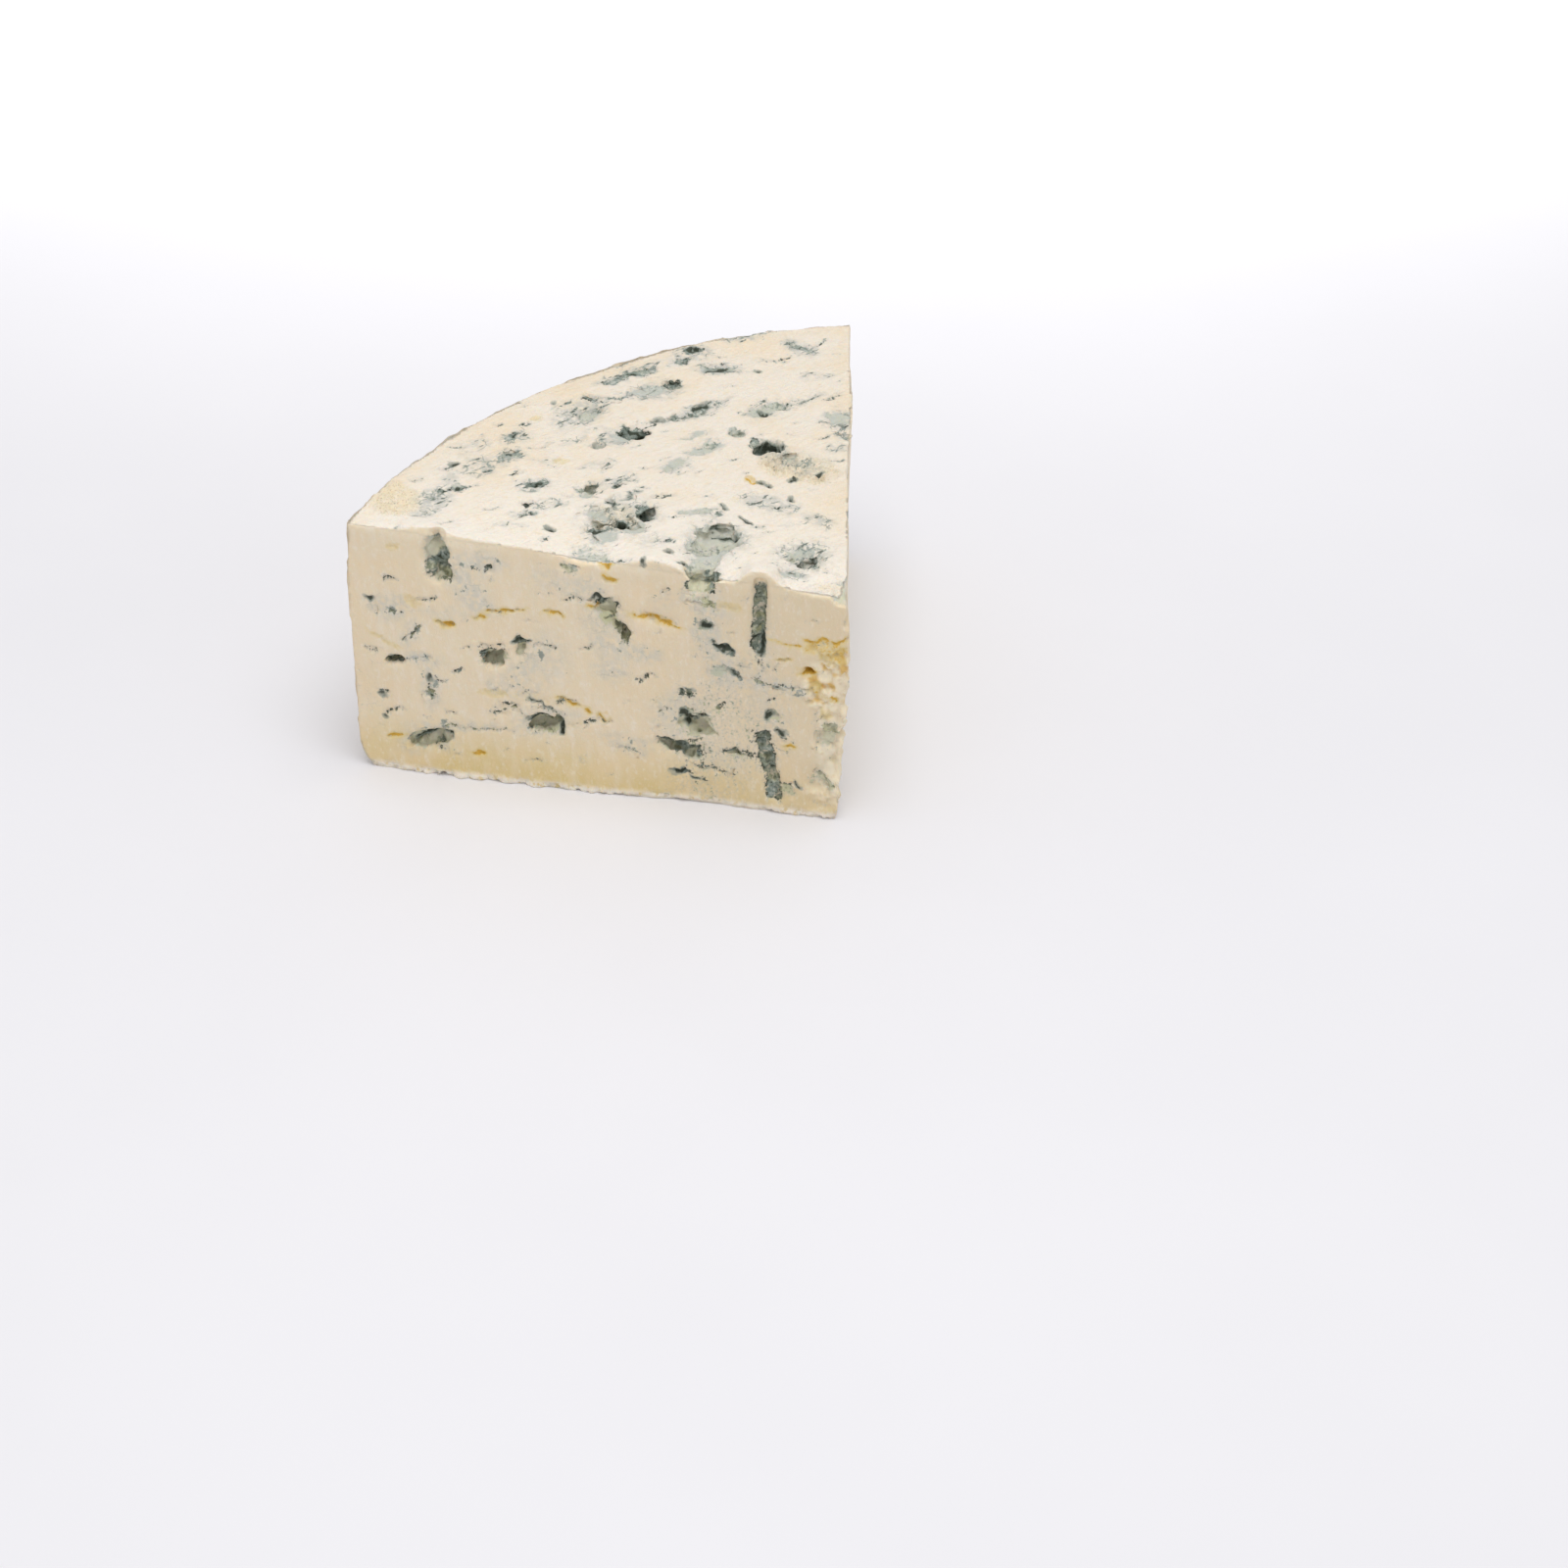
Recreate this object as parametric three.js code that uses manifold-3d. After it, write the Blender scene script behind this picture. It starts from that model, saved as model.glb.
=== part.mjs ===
// A wedge of blue-veined cheese, cut from a wheel that was first halved through its height.
// Its two upright faces and its top are knife cuts through the paste, its curved back is the
// wheel's rind and it rests on the wheel's flat face. Millimetres, +Z up, origin under the
// middle of the wedge. The tip points to the right and forward, the rind to the left and back.
import * as THREE from 'three';
import { mergeVertices } from 'three/addons/utils/BufferGeometryUtils.js';
import Module from 'manifold-3d';

// Driving dimensions of the wedge
const CUT_LENGTH = 150; // tip to rind, along either upright cut
const TIP_ANGLE = 82; // degrees between the two upright cuts
const FRONT_TURN = 8; // degrees from the X axis to the front cut
const RIND_RADIUS = 204; // of the wheel's side where this wedge was cut
const HEIGHT_AT_TIP = 81;
const HEIGHT_AT_CORNERS = 88; // where the cuts meet the rind

// The wheel's side: it bulges a little, and curls in where it meets the flat face
const RIND_BULGE = 0.8;
const FOOT_CURL = 4.5;
const FOOT_HEIGHT = 12;

// Facet sizes, and how deep the unevenness is that the facets carry
const KNIFE_CELL = 7.5;
const RIND_CELL = 9.5;
const KNIFE_WAVE = 0.5;
const KNIFE_BELLY = 0.9;
const RIND_WAVE = 0.7;
const BLOCK_DEPTH = 260; // of the blocks that trim the wheel, more than the wedge measures
const OVERHANG = 20; // how far such a block reaches past the wedge

const radians = THREE.MathUtils.degToRad;
const HALF_ANGLE = radians(TIP_ANGLE / 2);

// Smooth noise from -1 to 1, about one bump for each unit of x, y and z
function hash(ix, iy, iz) {
  const value = Math.sin(ix * 127.1 + iy * 311.7 + iz * 74.7) * 43758.5453;
  return value - Math.floor(value);
}

function noise(x, y, z) {
  const cell = [Math.floor(x), Math.floor(y), Math.floor(z)];
  const ease = [x - cell[0], y - cell[1], z - cell[2]].map((t) => t * t * (3 - 2 * t));
  let sum = 0;
  for (let corner = 0; corner < 8; corner++) {
    const bit = [corner & 1, (corner >> 1) & 1, (corner >> 2) & 1];
    const weight = bit.reduce((w, b, i) => w * (b ? ease[i] : 1 - ease[i]), 1);
    sum += weight * hash(cell[0] + bit[0], cell[1] + bit[1], cell[2] + bit[2]);
  }
  return sum * 2 - 1;
}

// A repeatable draw between low and high
function makeDraw(seed) {
  let count = 0;
  return (low, high) => low + (high - low) * hash(seed, ++count, 7.3);
}

// Solids: a closed three.js geometry becomes a solid that can be joined and cut
const wasm = await Module();
wasm.setup();

function toSolid(geometry) {
  geometry.deleteAttribute('normal');
  geometry.deleteAttribute('uv');
  const merged = mergeVertices(geometry, 1e-4);
  return new wasm.Manifold(
    new wasm.Mesh({
      numProp: 3,
      vertProperties: new Float32Array(merged.attributes.position.array),
      triVerts: new Uint32Array(merged.index.array),
    }),
  );
}

function toGeometry(solid) {
  const mesh = solid.getMesh();
  const geometry = new THREE.BufferGeometry();
  geometry.setAttribute('position', new THREE.BufferAttribute(mesh.vertProperties, 3));
  geometry.setIndex(new THREE.BufferAttribute(mesh.triVerts, 1));
  geometry.computeVertexNormals();
  return geometry;
}

function joinAll(solids) {
  return solids.reduce((joined, solid) => joined.add(solid));
}

// The body itself, without the scraps that close cuts can leave loose
function largestBody(solid) {
  return solid.decompose().reduce((best, piece) => (piece.volume() > best.volume() ? piece : best));
}

function moveVertices(geometry, move) {
  const position = geometry.attributes.position;
  const point = new THREE.Vector3();
  for (let i = 0; i < position.count; i++) {
    point.fromBufferAttribute(position, i);
    move(point);
    position.setXYZ(i, point.x, point.y, point.z);
  }
  return geometry;
}

// Every cut face has a frame of its own, as seen from outside: x to the right, y up and z out
// of the cheese. The upright cuts start at the foot of the tip and the top cut at its head.
const turn = radians(FRONT_TURN);
const UP = new THREE.Vector3(0, 0, 1);
const RIGHT = new THREE.Vector3(1, 0, 0);
const AWAY = new THREE.Vector3(0, 1, 0);
const FRONT_ALONG = new THREE.Vector3(Math.cos(turn), -Math.sin(turn), 0);
const FRONT_OUT = new THREE.Vector3(-Math.sin(turn), -Math.cos(turn), 0);
const frontFrame = new THREE.Matrix4().makeBasis(FRONT_ALONG, UP, FRONT_OUT);
const rightFrame = new THREE.Matrix4().makeBasis(AWAY, UP, RIGHT);
const topFrame = new THREE.Matrix4().makeTranslation(0, 0, HEIGHT_AT_TIP);

// From the tip towards the middle of the rind, along which the top cut climbs
const middle = radians(90) + HALF_ANGLE;
const INWARD = new THREE.Vector2(Math.cos(middle), Math.sin(middle));
const TOP_CLIMB = (HEIGHT_AT_CORNERS - HEIGHT_AT_TIP) / (CUT_LENGTH * Math.cos(HALF_ANGLE));

// The wheel's axis stands behind the tip, so that its side passes through both corners
const HALF_CHORD = CUT_LENGTH * Math.sin(HALF_ANGLE);
const AXIS_OFFSET = CUT_LENGTH * Math.cos(HALF_ANGLE) - Math.sqrt(RIND_RADIUS ** 2 - HALF_CHORD ** 2);
const wheelAxis = INWARD.clone().multiplyScalar(AXIS_OFFSET);

// A block with one uneven face, which is the face that the knife left. Its middle is given in
// the face's frame.
function knifeBlock(frame, middleX, middleY, width, height, relief) {
  const columns = Math.round(width / KNIFE_CELL);
  const rows = Math.round(height / KNIFE_CELL);
  const block = new THREE.BoxGeometry(width, height, BLOCK_DEPTH, columns, rows, 1);
  block.translate(middleX, middleY, -BLOCK_DEPTH / 2);
  moveVertices(block, (p) => {
    if (p.z > -1) p.z = relief(p.x, p.y);
  });
  return toSolid(block.applyMatrix4(frame));
}

// The knife leaves each upright cut nearly flat, with a slow belly and shallow waves
function frontRelief(x, y) {
  return KNIFE_BELLY * noise(x / 40, y / 30, 1) + KNIFE_WAVE * noise(x / 14, y / 20, 2);
}

function rightRelief(x, y) {
  return KNIFE_BELLY * noise(x / 35, y / 30, 5) + KNIFE_WAVE * noise(x / 13, y / 18, 6);
}

// Lifts and dips of the paste along the top's front edge: where, how high and how wide
const EDGE_SWELLS = [
  { at: -123, lift: 1.4, reach: 14 },
  { at: -77, lift: -1.0, reach: 7 },
  { at: -57, lift: 1.3, reach: 8 },
  { at: -26, lift: 2.0, reach: 6 },
  { at: -12, lift: -0.8, reach: 6 },
];
const EDGE_DEPTH = 9; // how far the swells reach in from the edge

function topRelief(x, y) {
  const fromFront = x * Math.sin(turn) + y * Math.cos(turn);
  const alongFront = x * Math.cos(turn) - y * Math.sin(turn);
  const nearEdge = Math.exp(-((fromFront / EDGE_DEPTH) ** 2));
  const swell = EDGE_SWELLS.reduce(
    (sum, s) => sum + s.lift * Math.exp(-(((alongFront - s.at) / s.reach) ** 2)),
    0,
  );
  const climb = TOP_CLIMB * (x * INWARD.x + y * INWARD.y);
  return climb + nearEdge * swell + KNIFE_WAVE * noise(x / 16, y / 16, 3);
}

// The wheel: a turned profile whose side is uneven, as pressed and scraped rind is
function sideRadius(z) {
  const curl = z < FOOT_HEIGHT ? FOOT_CURL * (1 - z / FOOT_HEIGHT) ** 2 : 0;
  return RIND_RADIUS + RIND_BULGE * Math.sin((Math.PI * z) / HEIGHT_AT_CORNERS) - curl;
}

function wheel() {
  const profile = [new THREE.Vector2(0, 0)];
  const footRows = [0, 2, 5, 9];
  const rows = Math.ceil((HEIGHT_AT_CORNERS + OVERHANG) / RIND_CELL);
  const upperRows = Array.from({ length: rows }, (_, i) => FOOT_HEIGHT + 2 + i * RIND_CELL);
  const heights = footRows.concat(upperRows);
  heights.forEach((z) => profile.push(new THREE.Vector2(sideRadius(z), z)));
  profile.push(new THREE.Vector2(0, heights[heights.length - 1]));
  const segments = Math.round((2 * Math.PI * RIND_RADIUS) / RIND_CELL);
  const turned = new THREE.LatheGeometry(profile, segments).rotateX(radians(90));
  moveVertices(turned, (p) => {
    const radius = Math.hypot(p.x, p.y);
    if (radius < 1 || p.z < 1) return;
    const grown = 1 + (RIND_WAVE * noise(p.x / 15, p.y / 15, p.z / 12)) / radius;
    p.x *= grown;
    p.y *= grown;
  });
  return toSolid(turned.translate(wheelAxis.x, wheelAxis.y, 0));
}

// A rough pocket where mould has opened the paste: size is length, width and depth, and slant
// turns its length anticlockwise in the face. Its widest part lies under the surface, so that
// the lip overhangs, and larger pockets get finer facets.
const FINE_POCKET = 13;
const COARSE_POCKET = 7.5;
const ROUGHNESS = 0.42; // how far a pocket's wall strays, as a share of its size
const SINK = 0.25; // how deep the widest part lies, as a share of the pocket's depth

function pocket(frame, at, size, slant, seed) {
  const span = Math.max(size[0], size[1]);
  const fineness = (span > COARSE_POCKET) + (span > FINE_POCKET);
  const blob = new THREE.IcosahedronGeometry(1, fineness);
  moveVertices(blob, (p) => {
    p.multiplyScalar(1 + ROUGHNESS * noise(p.x * 2 + seed, p.y * 2, p.z * 2));
    p.set((p.x * size[0]) / 2, (p.y * size[1]) / 2, p.z * (1 - SINK) * size[2]);
  });
  blob.rotateZ(radians(slant)).translate(at[0], at[1], at[2] - SINK * size[2]);
  return toSolid(blob.applyMatrix4(frame));
}

// The height of the top cut over a point given in the top's frame, for its pockets
function onTop([x, y]) {
  return [x, y, TOP_CLIMB * (x * INWARD.x + y * INWARD.y)];
}

function onUpright([x, y]) {
  return [x, y, 0];
}

// The pockets that are open on the top: bowls, clefts and single holes
const TOP_POCKETS = [
  { at: [-66, 79], size: [12, 5, 6], slant: 15 }, // cleft with an overhanging lip
  { at: [-50, 92], size: [21, 2.5, 3], slant: 37 }, // the slit that runs on from it
  { at: [-79, 48], size: [6, 4, 5], slant: 60 },
  { at: [-61, 37], size: [6, 8, 6], slant: -30 }, // deepest hole of the crumbled patch
  { at: [-68, 30], size: [13, 7, 4], slant: 20 },
  { at: [-40, 25], size: [18, 14, 5], slant: 55 }, // wide mouldy bowl
  { at: [-42, 8], size: [9, 10, 5], slant: 80 }, // runs out over the front edge
  { at: [-26, 76], size: [11, 8, 5], slant: 10 }, // crater
  { at: [-12, 17], size: [8, 6, 4], slant: 40 },
  { at: [-81, 88], size: [12, 6, 1.8], slant: 45 },
  { at: [-56, 108], size: [7, 4, 4], slant: 30 },
  { at: [-63, 101], size: [10, 4, 1.6], slant: 30 },
  { at: [-97, 37], size: [4, 3, 3], slant: 0 },
  { at: [-35, 84], size: [5, 4, 3], slant: 50 },
  { at: [-53, 122], size: [6, 3, 2], slant: 30 },
];

// Ground on the top where many small crumbs broke out side by side
const CRUMBLED = [
  { at: [-17, 68], reach: [10, 6], pits: 8 },
  { at: [-70, 34], reach: [7, 7], pits: 5 },
  { at: [-15, 22], reach: [5, 3], pits: 3 },
];

function crumbledPits() {
  const draw = makeDraw(5);
  return CRUMBLED.flatMap(({ at, reach, pits }) =>
    Array.from({ length: pits }, (_, i) => {
      const around = (2 * Math.PI * i) / pits + draw(-0.3, 0.3);
      const out = draw(0.3, 1);
      const x = at[0] + reach[0] * out * Math.cos(around);
      const y = at[1] + reach[1] * out * Math.sin(around);
      return pocket(topFrame, onTop([x, y]), [draw(4, 7), draw(3, 5), draw(1, 2.2)], 30, at[0] - i);
    }),
  );
}

// The pockets that are open on the front, from the rind to the tip
const FRONT_POCKETS = [
  { at: [-123, 80], size: [9, 18, 3.5], slant: 4 }, // upright trough below the top edge
  { at: [-121, 74], size: [7, 6, 6], slant: 0 }, // its deep foot
  { at: [-137, 41], size: [7, 4, 5], slant: 0 },
  { at: [-107, 46], size: [9, 6, 6], slant: 15 },
  { at: [-98, 50], size: [4, 8, 2.5], slant: -20 },
  { at: [-72, 68], size: [9, 5, 4], slant: 10 },
  { at: [-68, 61], size: [4.5, 11, 6], slant: 24 }, // slanted hole that runs in deep
  { at: [-45, 29], size: [9, 8, 6], slant: -20 },
  { at: [-49, 20], size: [18, 4, 5], slant: -14 }, // torn crack
  { at: [-31, 20], size: [12, 2.5, 2.5], slant: -5 },
  { at: [-91, 23], size: [12, 6, 6], slant: 20 }, // jagged crack
  { at: [-127, 13], size: [14, 7, 4.5], slant: 20 },
  { at: [-57, 66], size: [17, 2.5, 2], slant: -12 }, // long tear
  { at: [-11, 53], size: [6, 4, 4], slant: 0 },
];

// The channels that a piercing needle left, where the knife happened to open them
const NEEDLE_RADIUS = 2.1;
const NEEDLE_SINK = 0.7; // how far under the cut the channel's axis runs
const FRONT_CHANNELS = [
  { x: -26.5, low: 58, high: 81.5, slant: -1 },
  { x: -22, low: 4, high: 29, slant: 11 },
];
const RIGHT_CHANNELS = [
  { x: 47, low: 34, high: 71, slant: 2 },
  { x: 108, low: 6, high: 44, slant: -3 },
];

function needleChannel(frame, { x, low, high, slant }) {
  const length = high - low;
  const bore = new THREE.CylinderGeometry(NEEDLE_RADIUS, NEEDLE_RADIUS, length, 8, 4);
  moveVertices(bore, (p) => {
    const bent = 0.5 * noise(x, p.y / 7, 4);
    p.x += bent;
    p.z += bent;
  });
  bore.rotateZ(radians(slant)).translate(x, (low + high) / 2, -NEEDLE_SINK);
  return toSolid(bore.applyMatrix4(frame));
}

// Pockets by rule on the right-hand cut, in the sizes and the spacing of the front's
const RIGHT_COLUMNS = 4;
const RIGHT_ROWS = 4;

function rightPockets() {
  const draw = makeDraw(31);
  const across = CUT_LENGTH / (RIGHT_COLUMNS + 0.4);
  const up = HEIGHT_AT_CORNERS / (RIGHT_ROWS + 0.4);
  const made = [];
  for (let row = 0; row < RIGHT_ROWS; row++) {
    for (let column = 0; column < RIGHT_COLUMNS; column++) {
      const x = (column + 0.6) * across + draw(-9, 9);
      const y = (row + 0.65) * up + draw(-6, 6);
      const size = [draw(4, 13), draw(3, 6.5), draw(2.5, 6)];
      made.push(pocket(rightFrame, onUpright([x, y]), size, draw(-30, 30), 50 + made.length));
    }
  }
  return made;
}

// Where the paste broke away along the edge of the tip: crags side by side on the front's lower
// part, and a few nicks on the other side of the edge
const CRAG_TOP = 58;
const CRAG_STEP = 7;
const NICK_STEP = 21;

function tipCrags() {
  const draw = makeDraw(12);
  const made = [];
  for (let z = CRAG_STEP; z < CRAG_TOP; z += CRAG_STEP) {
    const size = [draw(8, 12), draw(9, 13), draw(1.4, 2.8)];
    made.push(pocket(frontFrame, [draw(-7, -1), z + draw(-2, 2), 0.3], size, draw(-30, 30), z));
  }
  for (let z = NICK_STEP / 2; z < HEIGHT_AT_TIP; z += NICK_STEP) {
    made.push(pocket(rightFrame, [draw(0, 3), z, 0.4], [draw(4, 6), 7, 1.8], 0, 200 + z));
  }
  return made;
}

// Crumbs that fell from the foot of an upright cut. Its frame's x runs away from the tip on the
// right-hand cut, direction 1, and towards it on the front, direction -1.
const CHIP_STEP = 15;

function footChips(frame, direction, seed) {
  const draw = makeDraw(seed);
  const made = [];
  for (let s = CHIP_STEP / 2; s < CUT_LENGTH - CHIP_STEP / 2; s += CHIP_STEP) {
    const x = direction * (s + draw(-5, 5));
    made.push(pocket(frame, [x, draw(-1.5, 0), 0], [draw(4, 7), draw(3, 5), draw(1, 2.4)], 0, s));
  }
  return made;
}

// Dimples and needle holes in the rind, in two rough rows round the wheel
const RIND_ROWS = [24, 56];

function rindPits() {
  const draw = makeDraw(77);
  const made = [];
  const sweep = Math.asin(HALF_CHORD / RIND_RADIUS);
  RIND_ROWS.forEach((height, row) => {
    for (let column = -3; column <= 3; column++) {
      const angle = middle + (column * sweep) / 4 + draw(-0.03, 0.03);
      const z = height + draw(-8, 8);
      const out = new THREE.Vector3(Math.cos(angle), Math.sin(angle), 0);
      const along = new THREE.Vector3().crossVectors(UP, out);
      const frame = new THREE.Matrix4().makeBasis(along, UP, out);
      const radius = sideRadius(z);
      frame.setPosition(wheelAxis.x + out.x * radius, wheelAxis.y + out.y * radius, z);
      made.push(pocket(frame, [0, 0, 0.3], [draw(3.5, 7), draw(3.5, 6), draw(1.5, 4)], 0, 90 + row));
    }
  });
  return made;
}

// The wedge: the wheel trimmed by the three knife cuts, then opened by its pockets
function wedge() {
  const height = HEIGHT_AT_CORNERS + 2 * OVERHANG;
  const width = CUT_LENGTH + 2 * OVERHANG;
  const along = CUT_LENGTH / 2;
  const up = HEIGHT_AT_CORNERS / 2;
  const whole = wheel()
    .intersect(knifeBlock(frontFrame, -along, up, width, height, frontRelief))
    .intersect(knifeBlock(rightFrame, along, up, width, height, rightRelief))
    .intersect(knifeBlock(topFrame, -along, along, width, width, topRelief));
  const topOnes = TOP_POCKETS.map((p, i) => pocket(topFrame, onTop(p.at), p.size, p.slant, i));
  const frontOnes = FRONT_POCKETS.map((p, i) =>
    pocket(frontFrame, onUpright(p.at), p.size, p.slant, 30 + i),
  );
  const opened = whole.subtract(
    joinAll([
      ...topOnes,
      ...frontOnes,
      ...crumbledPits(),
      ...rightPockets(),
      ...FRONT_CHANNELS.map((channel) => needleChannel(frontFrame, channel)),
      ...RIGHT_CHANNELS.map((channel) => needleChannel(rightFrame, channel)),
      ...tipCrags(),
      ...footChips(frontFrame, -1, 41),
      ...footChips(rightFrame, 1, 42),
      ...rindPits(),
    ]),
  );
  return largestBody(opened);
}

const paste = new THREE.MeshStandardMaterial({ color: '#f0e6d6', roughness: 0.55, metalness: 0 });
const cheeseWedge = new THREE.Mesh(toGeometry(wedge()), paste);
cheeseWedge.name = 'cheese_wedge';

// The origin goes under the middle of the wedge's box
cheeseWedge.geometry.computeBoundingBox();
const box = cheeseWedge.geometry.boundingBox;
const centre = box.getCenter(new THREE.Vector3());
cheeseWedge.position.set(-centre.x, -centre.y, -box.min.z);

const group = new THREE.Group();
group.add(cheeseWedge);

export default group;
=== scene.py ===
# A wedge of blue-veined cheese on a pale table top. The whole cheese is one piece of paste, so the
# sections below follow how it came to look as it does: the marks of mould and knife, the block that
# bears them, the finish of paste, mould and rind, and the table top that it stands on.
import math

import bmesh
import bpy
import numpy as np
from mathutils import Matrix, Vector


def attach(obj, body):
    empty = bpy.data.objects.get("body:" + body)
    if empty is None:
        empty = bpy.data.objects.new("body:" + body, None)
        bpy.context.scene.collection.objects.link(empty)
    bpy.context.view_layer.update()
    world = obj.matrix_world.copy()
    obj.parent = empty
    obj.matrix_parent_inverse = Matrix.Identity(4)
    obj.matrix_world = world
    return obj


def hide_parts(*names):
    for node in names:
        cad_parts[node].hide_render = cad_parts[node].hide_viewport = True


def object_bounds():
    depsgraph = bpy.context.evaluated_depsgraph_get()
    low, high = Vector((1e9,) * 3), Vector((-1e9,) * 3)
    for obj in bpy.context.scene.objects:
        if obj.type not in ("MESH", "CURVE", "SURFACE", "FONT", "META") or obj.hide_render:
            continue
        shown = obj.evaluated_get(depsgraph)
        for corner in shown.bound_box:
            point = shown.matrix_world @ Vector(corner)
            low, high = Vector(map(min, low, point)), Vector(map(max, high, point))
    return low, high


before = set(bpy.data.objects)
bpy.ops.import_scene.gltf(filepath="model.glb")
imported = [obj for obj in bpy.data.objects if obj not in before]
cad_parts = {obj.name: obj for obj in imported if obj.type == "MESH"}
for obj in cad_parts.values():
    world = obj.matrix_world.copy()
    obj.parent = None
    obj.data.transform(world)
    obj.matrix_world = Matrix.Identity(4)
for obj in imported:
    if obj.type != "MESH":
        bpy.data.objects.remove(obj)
cad_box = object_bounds()
MM = 0.001


# The viewpoint. A short telephoto lens looks down on the wedge from in front of its left cut, and
# leans a little, as a camera held by hand does. Places are measured from the foot of the tip.
TIP = Vector((74.3, -75.3, 0.0)) * MM
FRAME_SIDE = 1600
FOCAL_PIXELS = 3750
SENSOR = 36.0
LOOK_DOWN = math.radians(36.29)
LEAN = math.radians(1.81)
CAMERA_PLACE = Vector((-17.2, -895.2, 670.4)) * MM

ahead = Vector((0, math.cos(LOOK_DOWN), -math.sin(LOOK_DOWN)))
level_up = Vector((0, math.sin(LOOK_DOWN), math.cos(LOOK_DOWN)))
level_right = Vector((1, 0, 0))
camera_right = math.cos(LEAN) * level_right + math.sin(LEAN) * level_up
camera_up = math.cos(LEAN) * level_up - math.sin(LEAN) * level_right
camera = bpy.data.objects.new("camera", bpy.data.cameras.new("camera"))
camera.data.sensor_width = SENSOR
camera.data.lens = SENSOR * FOCAL_PIXELS / FRAME_SIDE
camera.data.clip_start = 0.05
camera.data.clip_end = 50
turned = Matrix((camera_right, camera_up, -ahead)).transposed().to_4x4()
camera.matrix_world = Matrix.Translation(TIP + CAMERA_PLACE) @ turned
bpy.context.scene.collection.objects.link(camera)
bpy.context.scene.camera = camera


# The block of paste: a quarter of a halved wheel, cut by hand with a long knife. Its mesh starts
# as the solid itself, is drawn over with a fine even skin and gets its grain, chips and small
# holes by moving that skin. All lengths in this section are millimetres from the foot of the tip.
TIP_ANGLE = math.radians(82)
FRONT_TURN = math.radians(8)
CUT_LENGTH = 150
HEIGHT_AT_TIP = 81
HEIGHT_AT_CORNERS = 88
RIND_RADIUS = 204
FOOT_CURL = 4.5
FOOT_HEIGHT = 12
RIND_BELLY = 0.8
SKIN = 0.65

half_angle = TIP_ANGLE / 2
middle = math.pi / 2 + half_angle
inward = np.array([math.cos(middle), math.sin(middle)])
reach = CUT_LENGTH * math.cos(half_angle)
half_chord = CUT_LENGTH * math.sin(half_angle)
top_climb = (HEIGHT_AT_CORNERS - HEIGHT_AT_TIP) / reach
wheel_axis = inward * (reach - math.sqrt(RIND_RADIUS**2 - half_chord**2))
front_along = np.array([math.cos(FRONT_TURN), -math.sin(FRONT_TURN)])
front_out = np.array([-math.sin(FRONT_TURN), -math.cos(FRONT_TURN)])


def noise(points, size, seed):
    """Smooth noise from -1 to 1 at points in mm, with bumps about size mm across."""
    grid = points / size + seed * 17.3
    cell = np.floor(grid)
    ease = grid - cell
    ease = ease * ease * (3 - 2 * ease)
    total = np.zeros(len(points))
    for corner in range(8):
        bit = np.array([corner & 1, (corner >> 1) & 1, (corner >> 2) & 1])
        weight = np.where(bit, ease, 1 - ease).prod(axis=1)
        spot = (cell + bit) @ np.array([127.1, 311.7, 74.7])
        value = np.sin(spot) * 43758.5453
        total += weight * (value - np.floor(value))
    return total * 2 - 1


def soft_step(value, low, high):
    """0 below low, 1 above high and smooth between them."""
    t = np.clip((value - low) / (high - low), 0, 1)
    return t * t * (3 - 2 * t)


def points_of(mesh):
    """The mesh's vertices in mm from the foot of the tip."""
    flat = np.empty(len(mesh.vertices) * 3, np.float32)
    mesh.vertices.foreach_get("co", flat)
    return (flat.reshape(-1, 3).astype(float) - np.array(TIP)) / MM


def place_points(mesh, points):
    """Puts the mesh's vertices at points in mm from the foot of the tip."""
    mesh.vertices.foreach_set("co", (points * MM + np.array(TIP)).astype(np.float32).ravel())
    mesh.update()


def normals_of(mesh):
    """The way that the mesh faces at each vertex."""
    flat = np.empty(len(mesh.vertices) * 3, np.float32)
    mesh.vertices.foreach_get("normal", flat)
    return flat.reshape(-1, 3).astype(float)


def with_modifier(thing, name, kind, **settings):
    """Gives the object one modifier and turns what it makes into the object's plain mesh."""
    modifier = thing.modifiers.new(name, kind)
    for key, value in settings.items():
        setattr(modifier, key, value)
    graph = bpy.context.evaluated_depsgraph_get()
    mesh = bpy.data.meshes.new_from_object(thing.evaluated_get(graph))
    thing.modifiers.clear()
    thing.data = mesh


def side_radius(height):
    """The rind's radius at each height: a slight belly, and a curl in under the foot."""
    curl = FOOT_CURL * np.clip(1 - height / FOOT_HEIGHT, 0, 1) ** 2
    return RIND_RADIUS + RIND_BELLY * np.sin(math.pi * height / HEIGHT_AT_CORNERS) - curl


def depths(points):
    """How deep each point lies under the front, right and top cuts, the rind and the foot."""
    x, y, z = points.T
    flat = points[:, :2]
    front = -flat @ front_out
    top = HEIGHT_AT_TIP + top_climb * (flat @ inward) - z
    rind = side_radius(z) - np.linalg.norm(flat - wheel_axis, axis=1)
    return np.stack([front, -x, top, rind, z])


def skin_mesh(size):
    """The solid's mesh, drawn over with an even skin of faces about size mm across."""
    bare = bmesh.new()
    bare.from_mesh(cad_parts["cheese_wedge"].data)
    bmesh.ops.remove_doubles(bare, verts=bare.verts, dist=1e-6)
    mesh = bpy.data.meshes.new("paste")
    bare.to_mesh(mesh)
    bare.free()
    thing = bpy.data.objects.new("cheese_paste", mesh)
    bpy.context.scene.collection.objects.link(thing)
    with_modifier(thing, "skin", "REMESH", mode="VOXEL", voxel_size=size * MM)
    return thing


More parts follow.
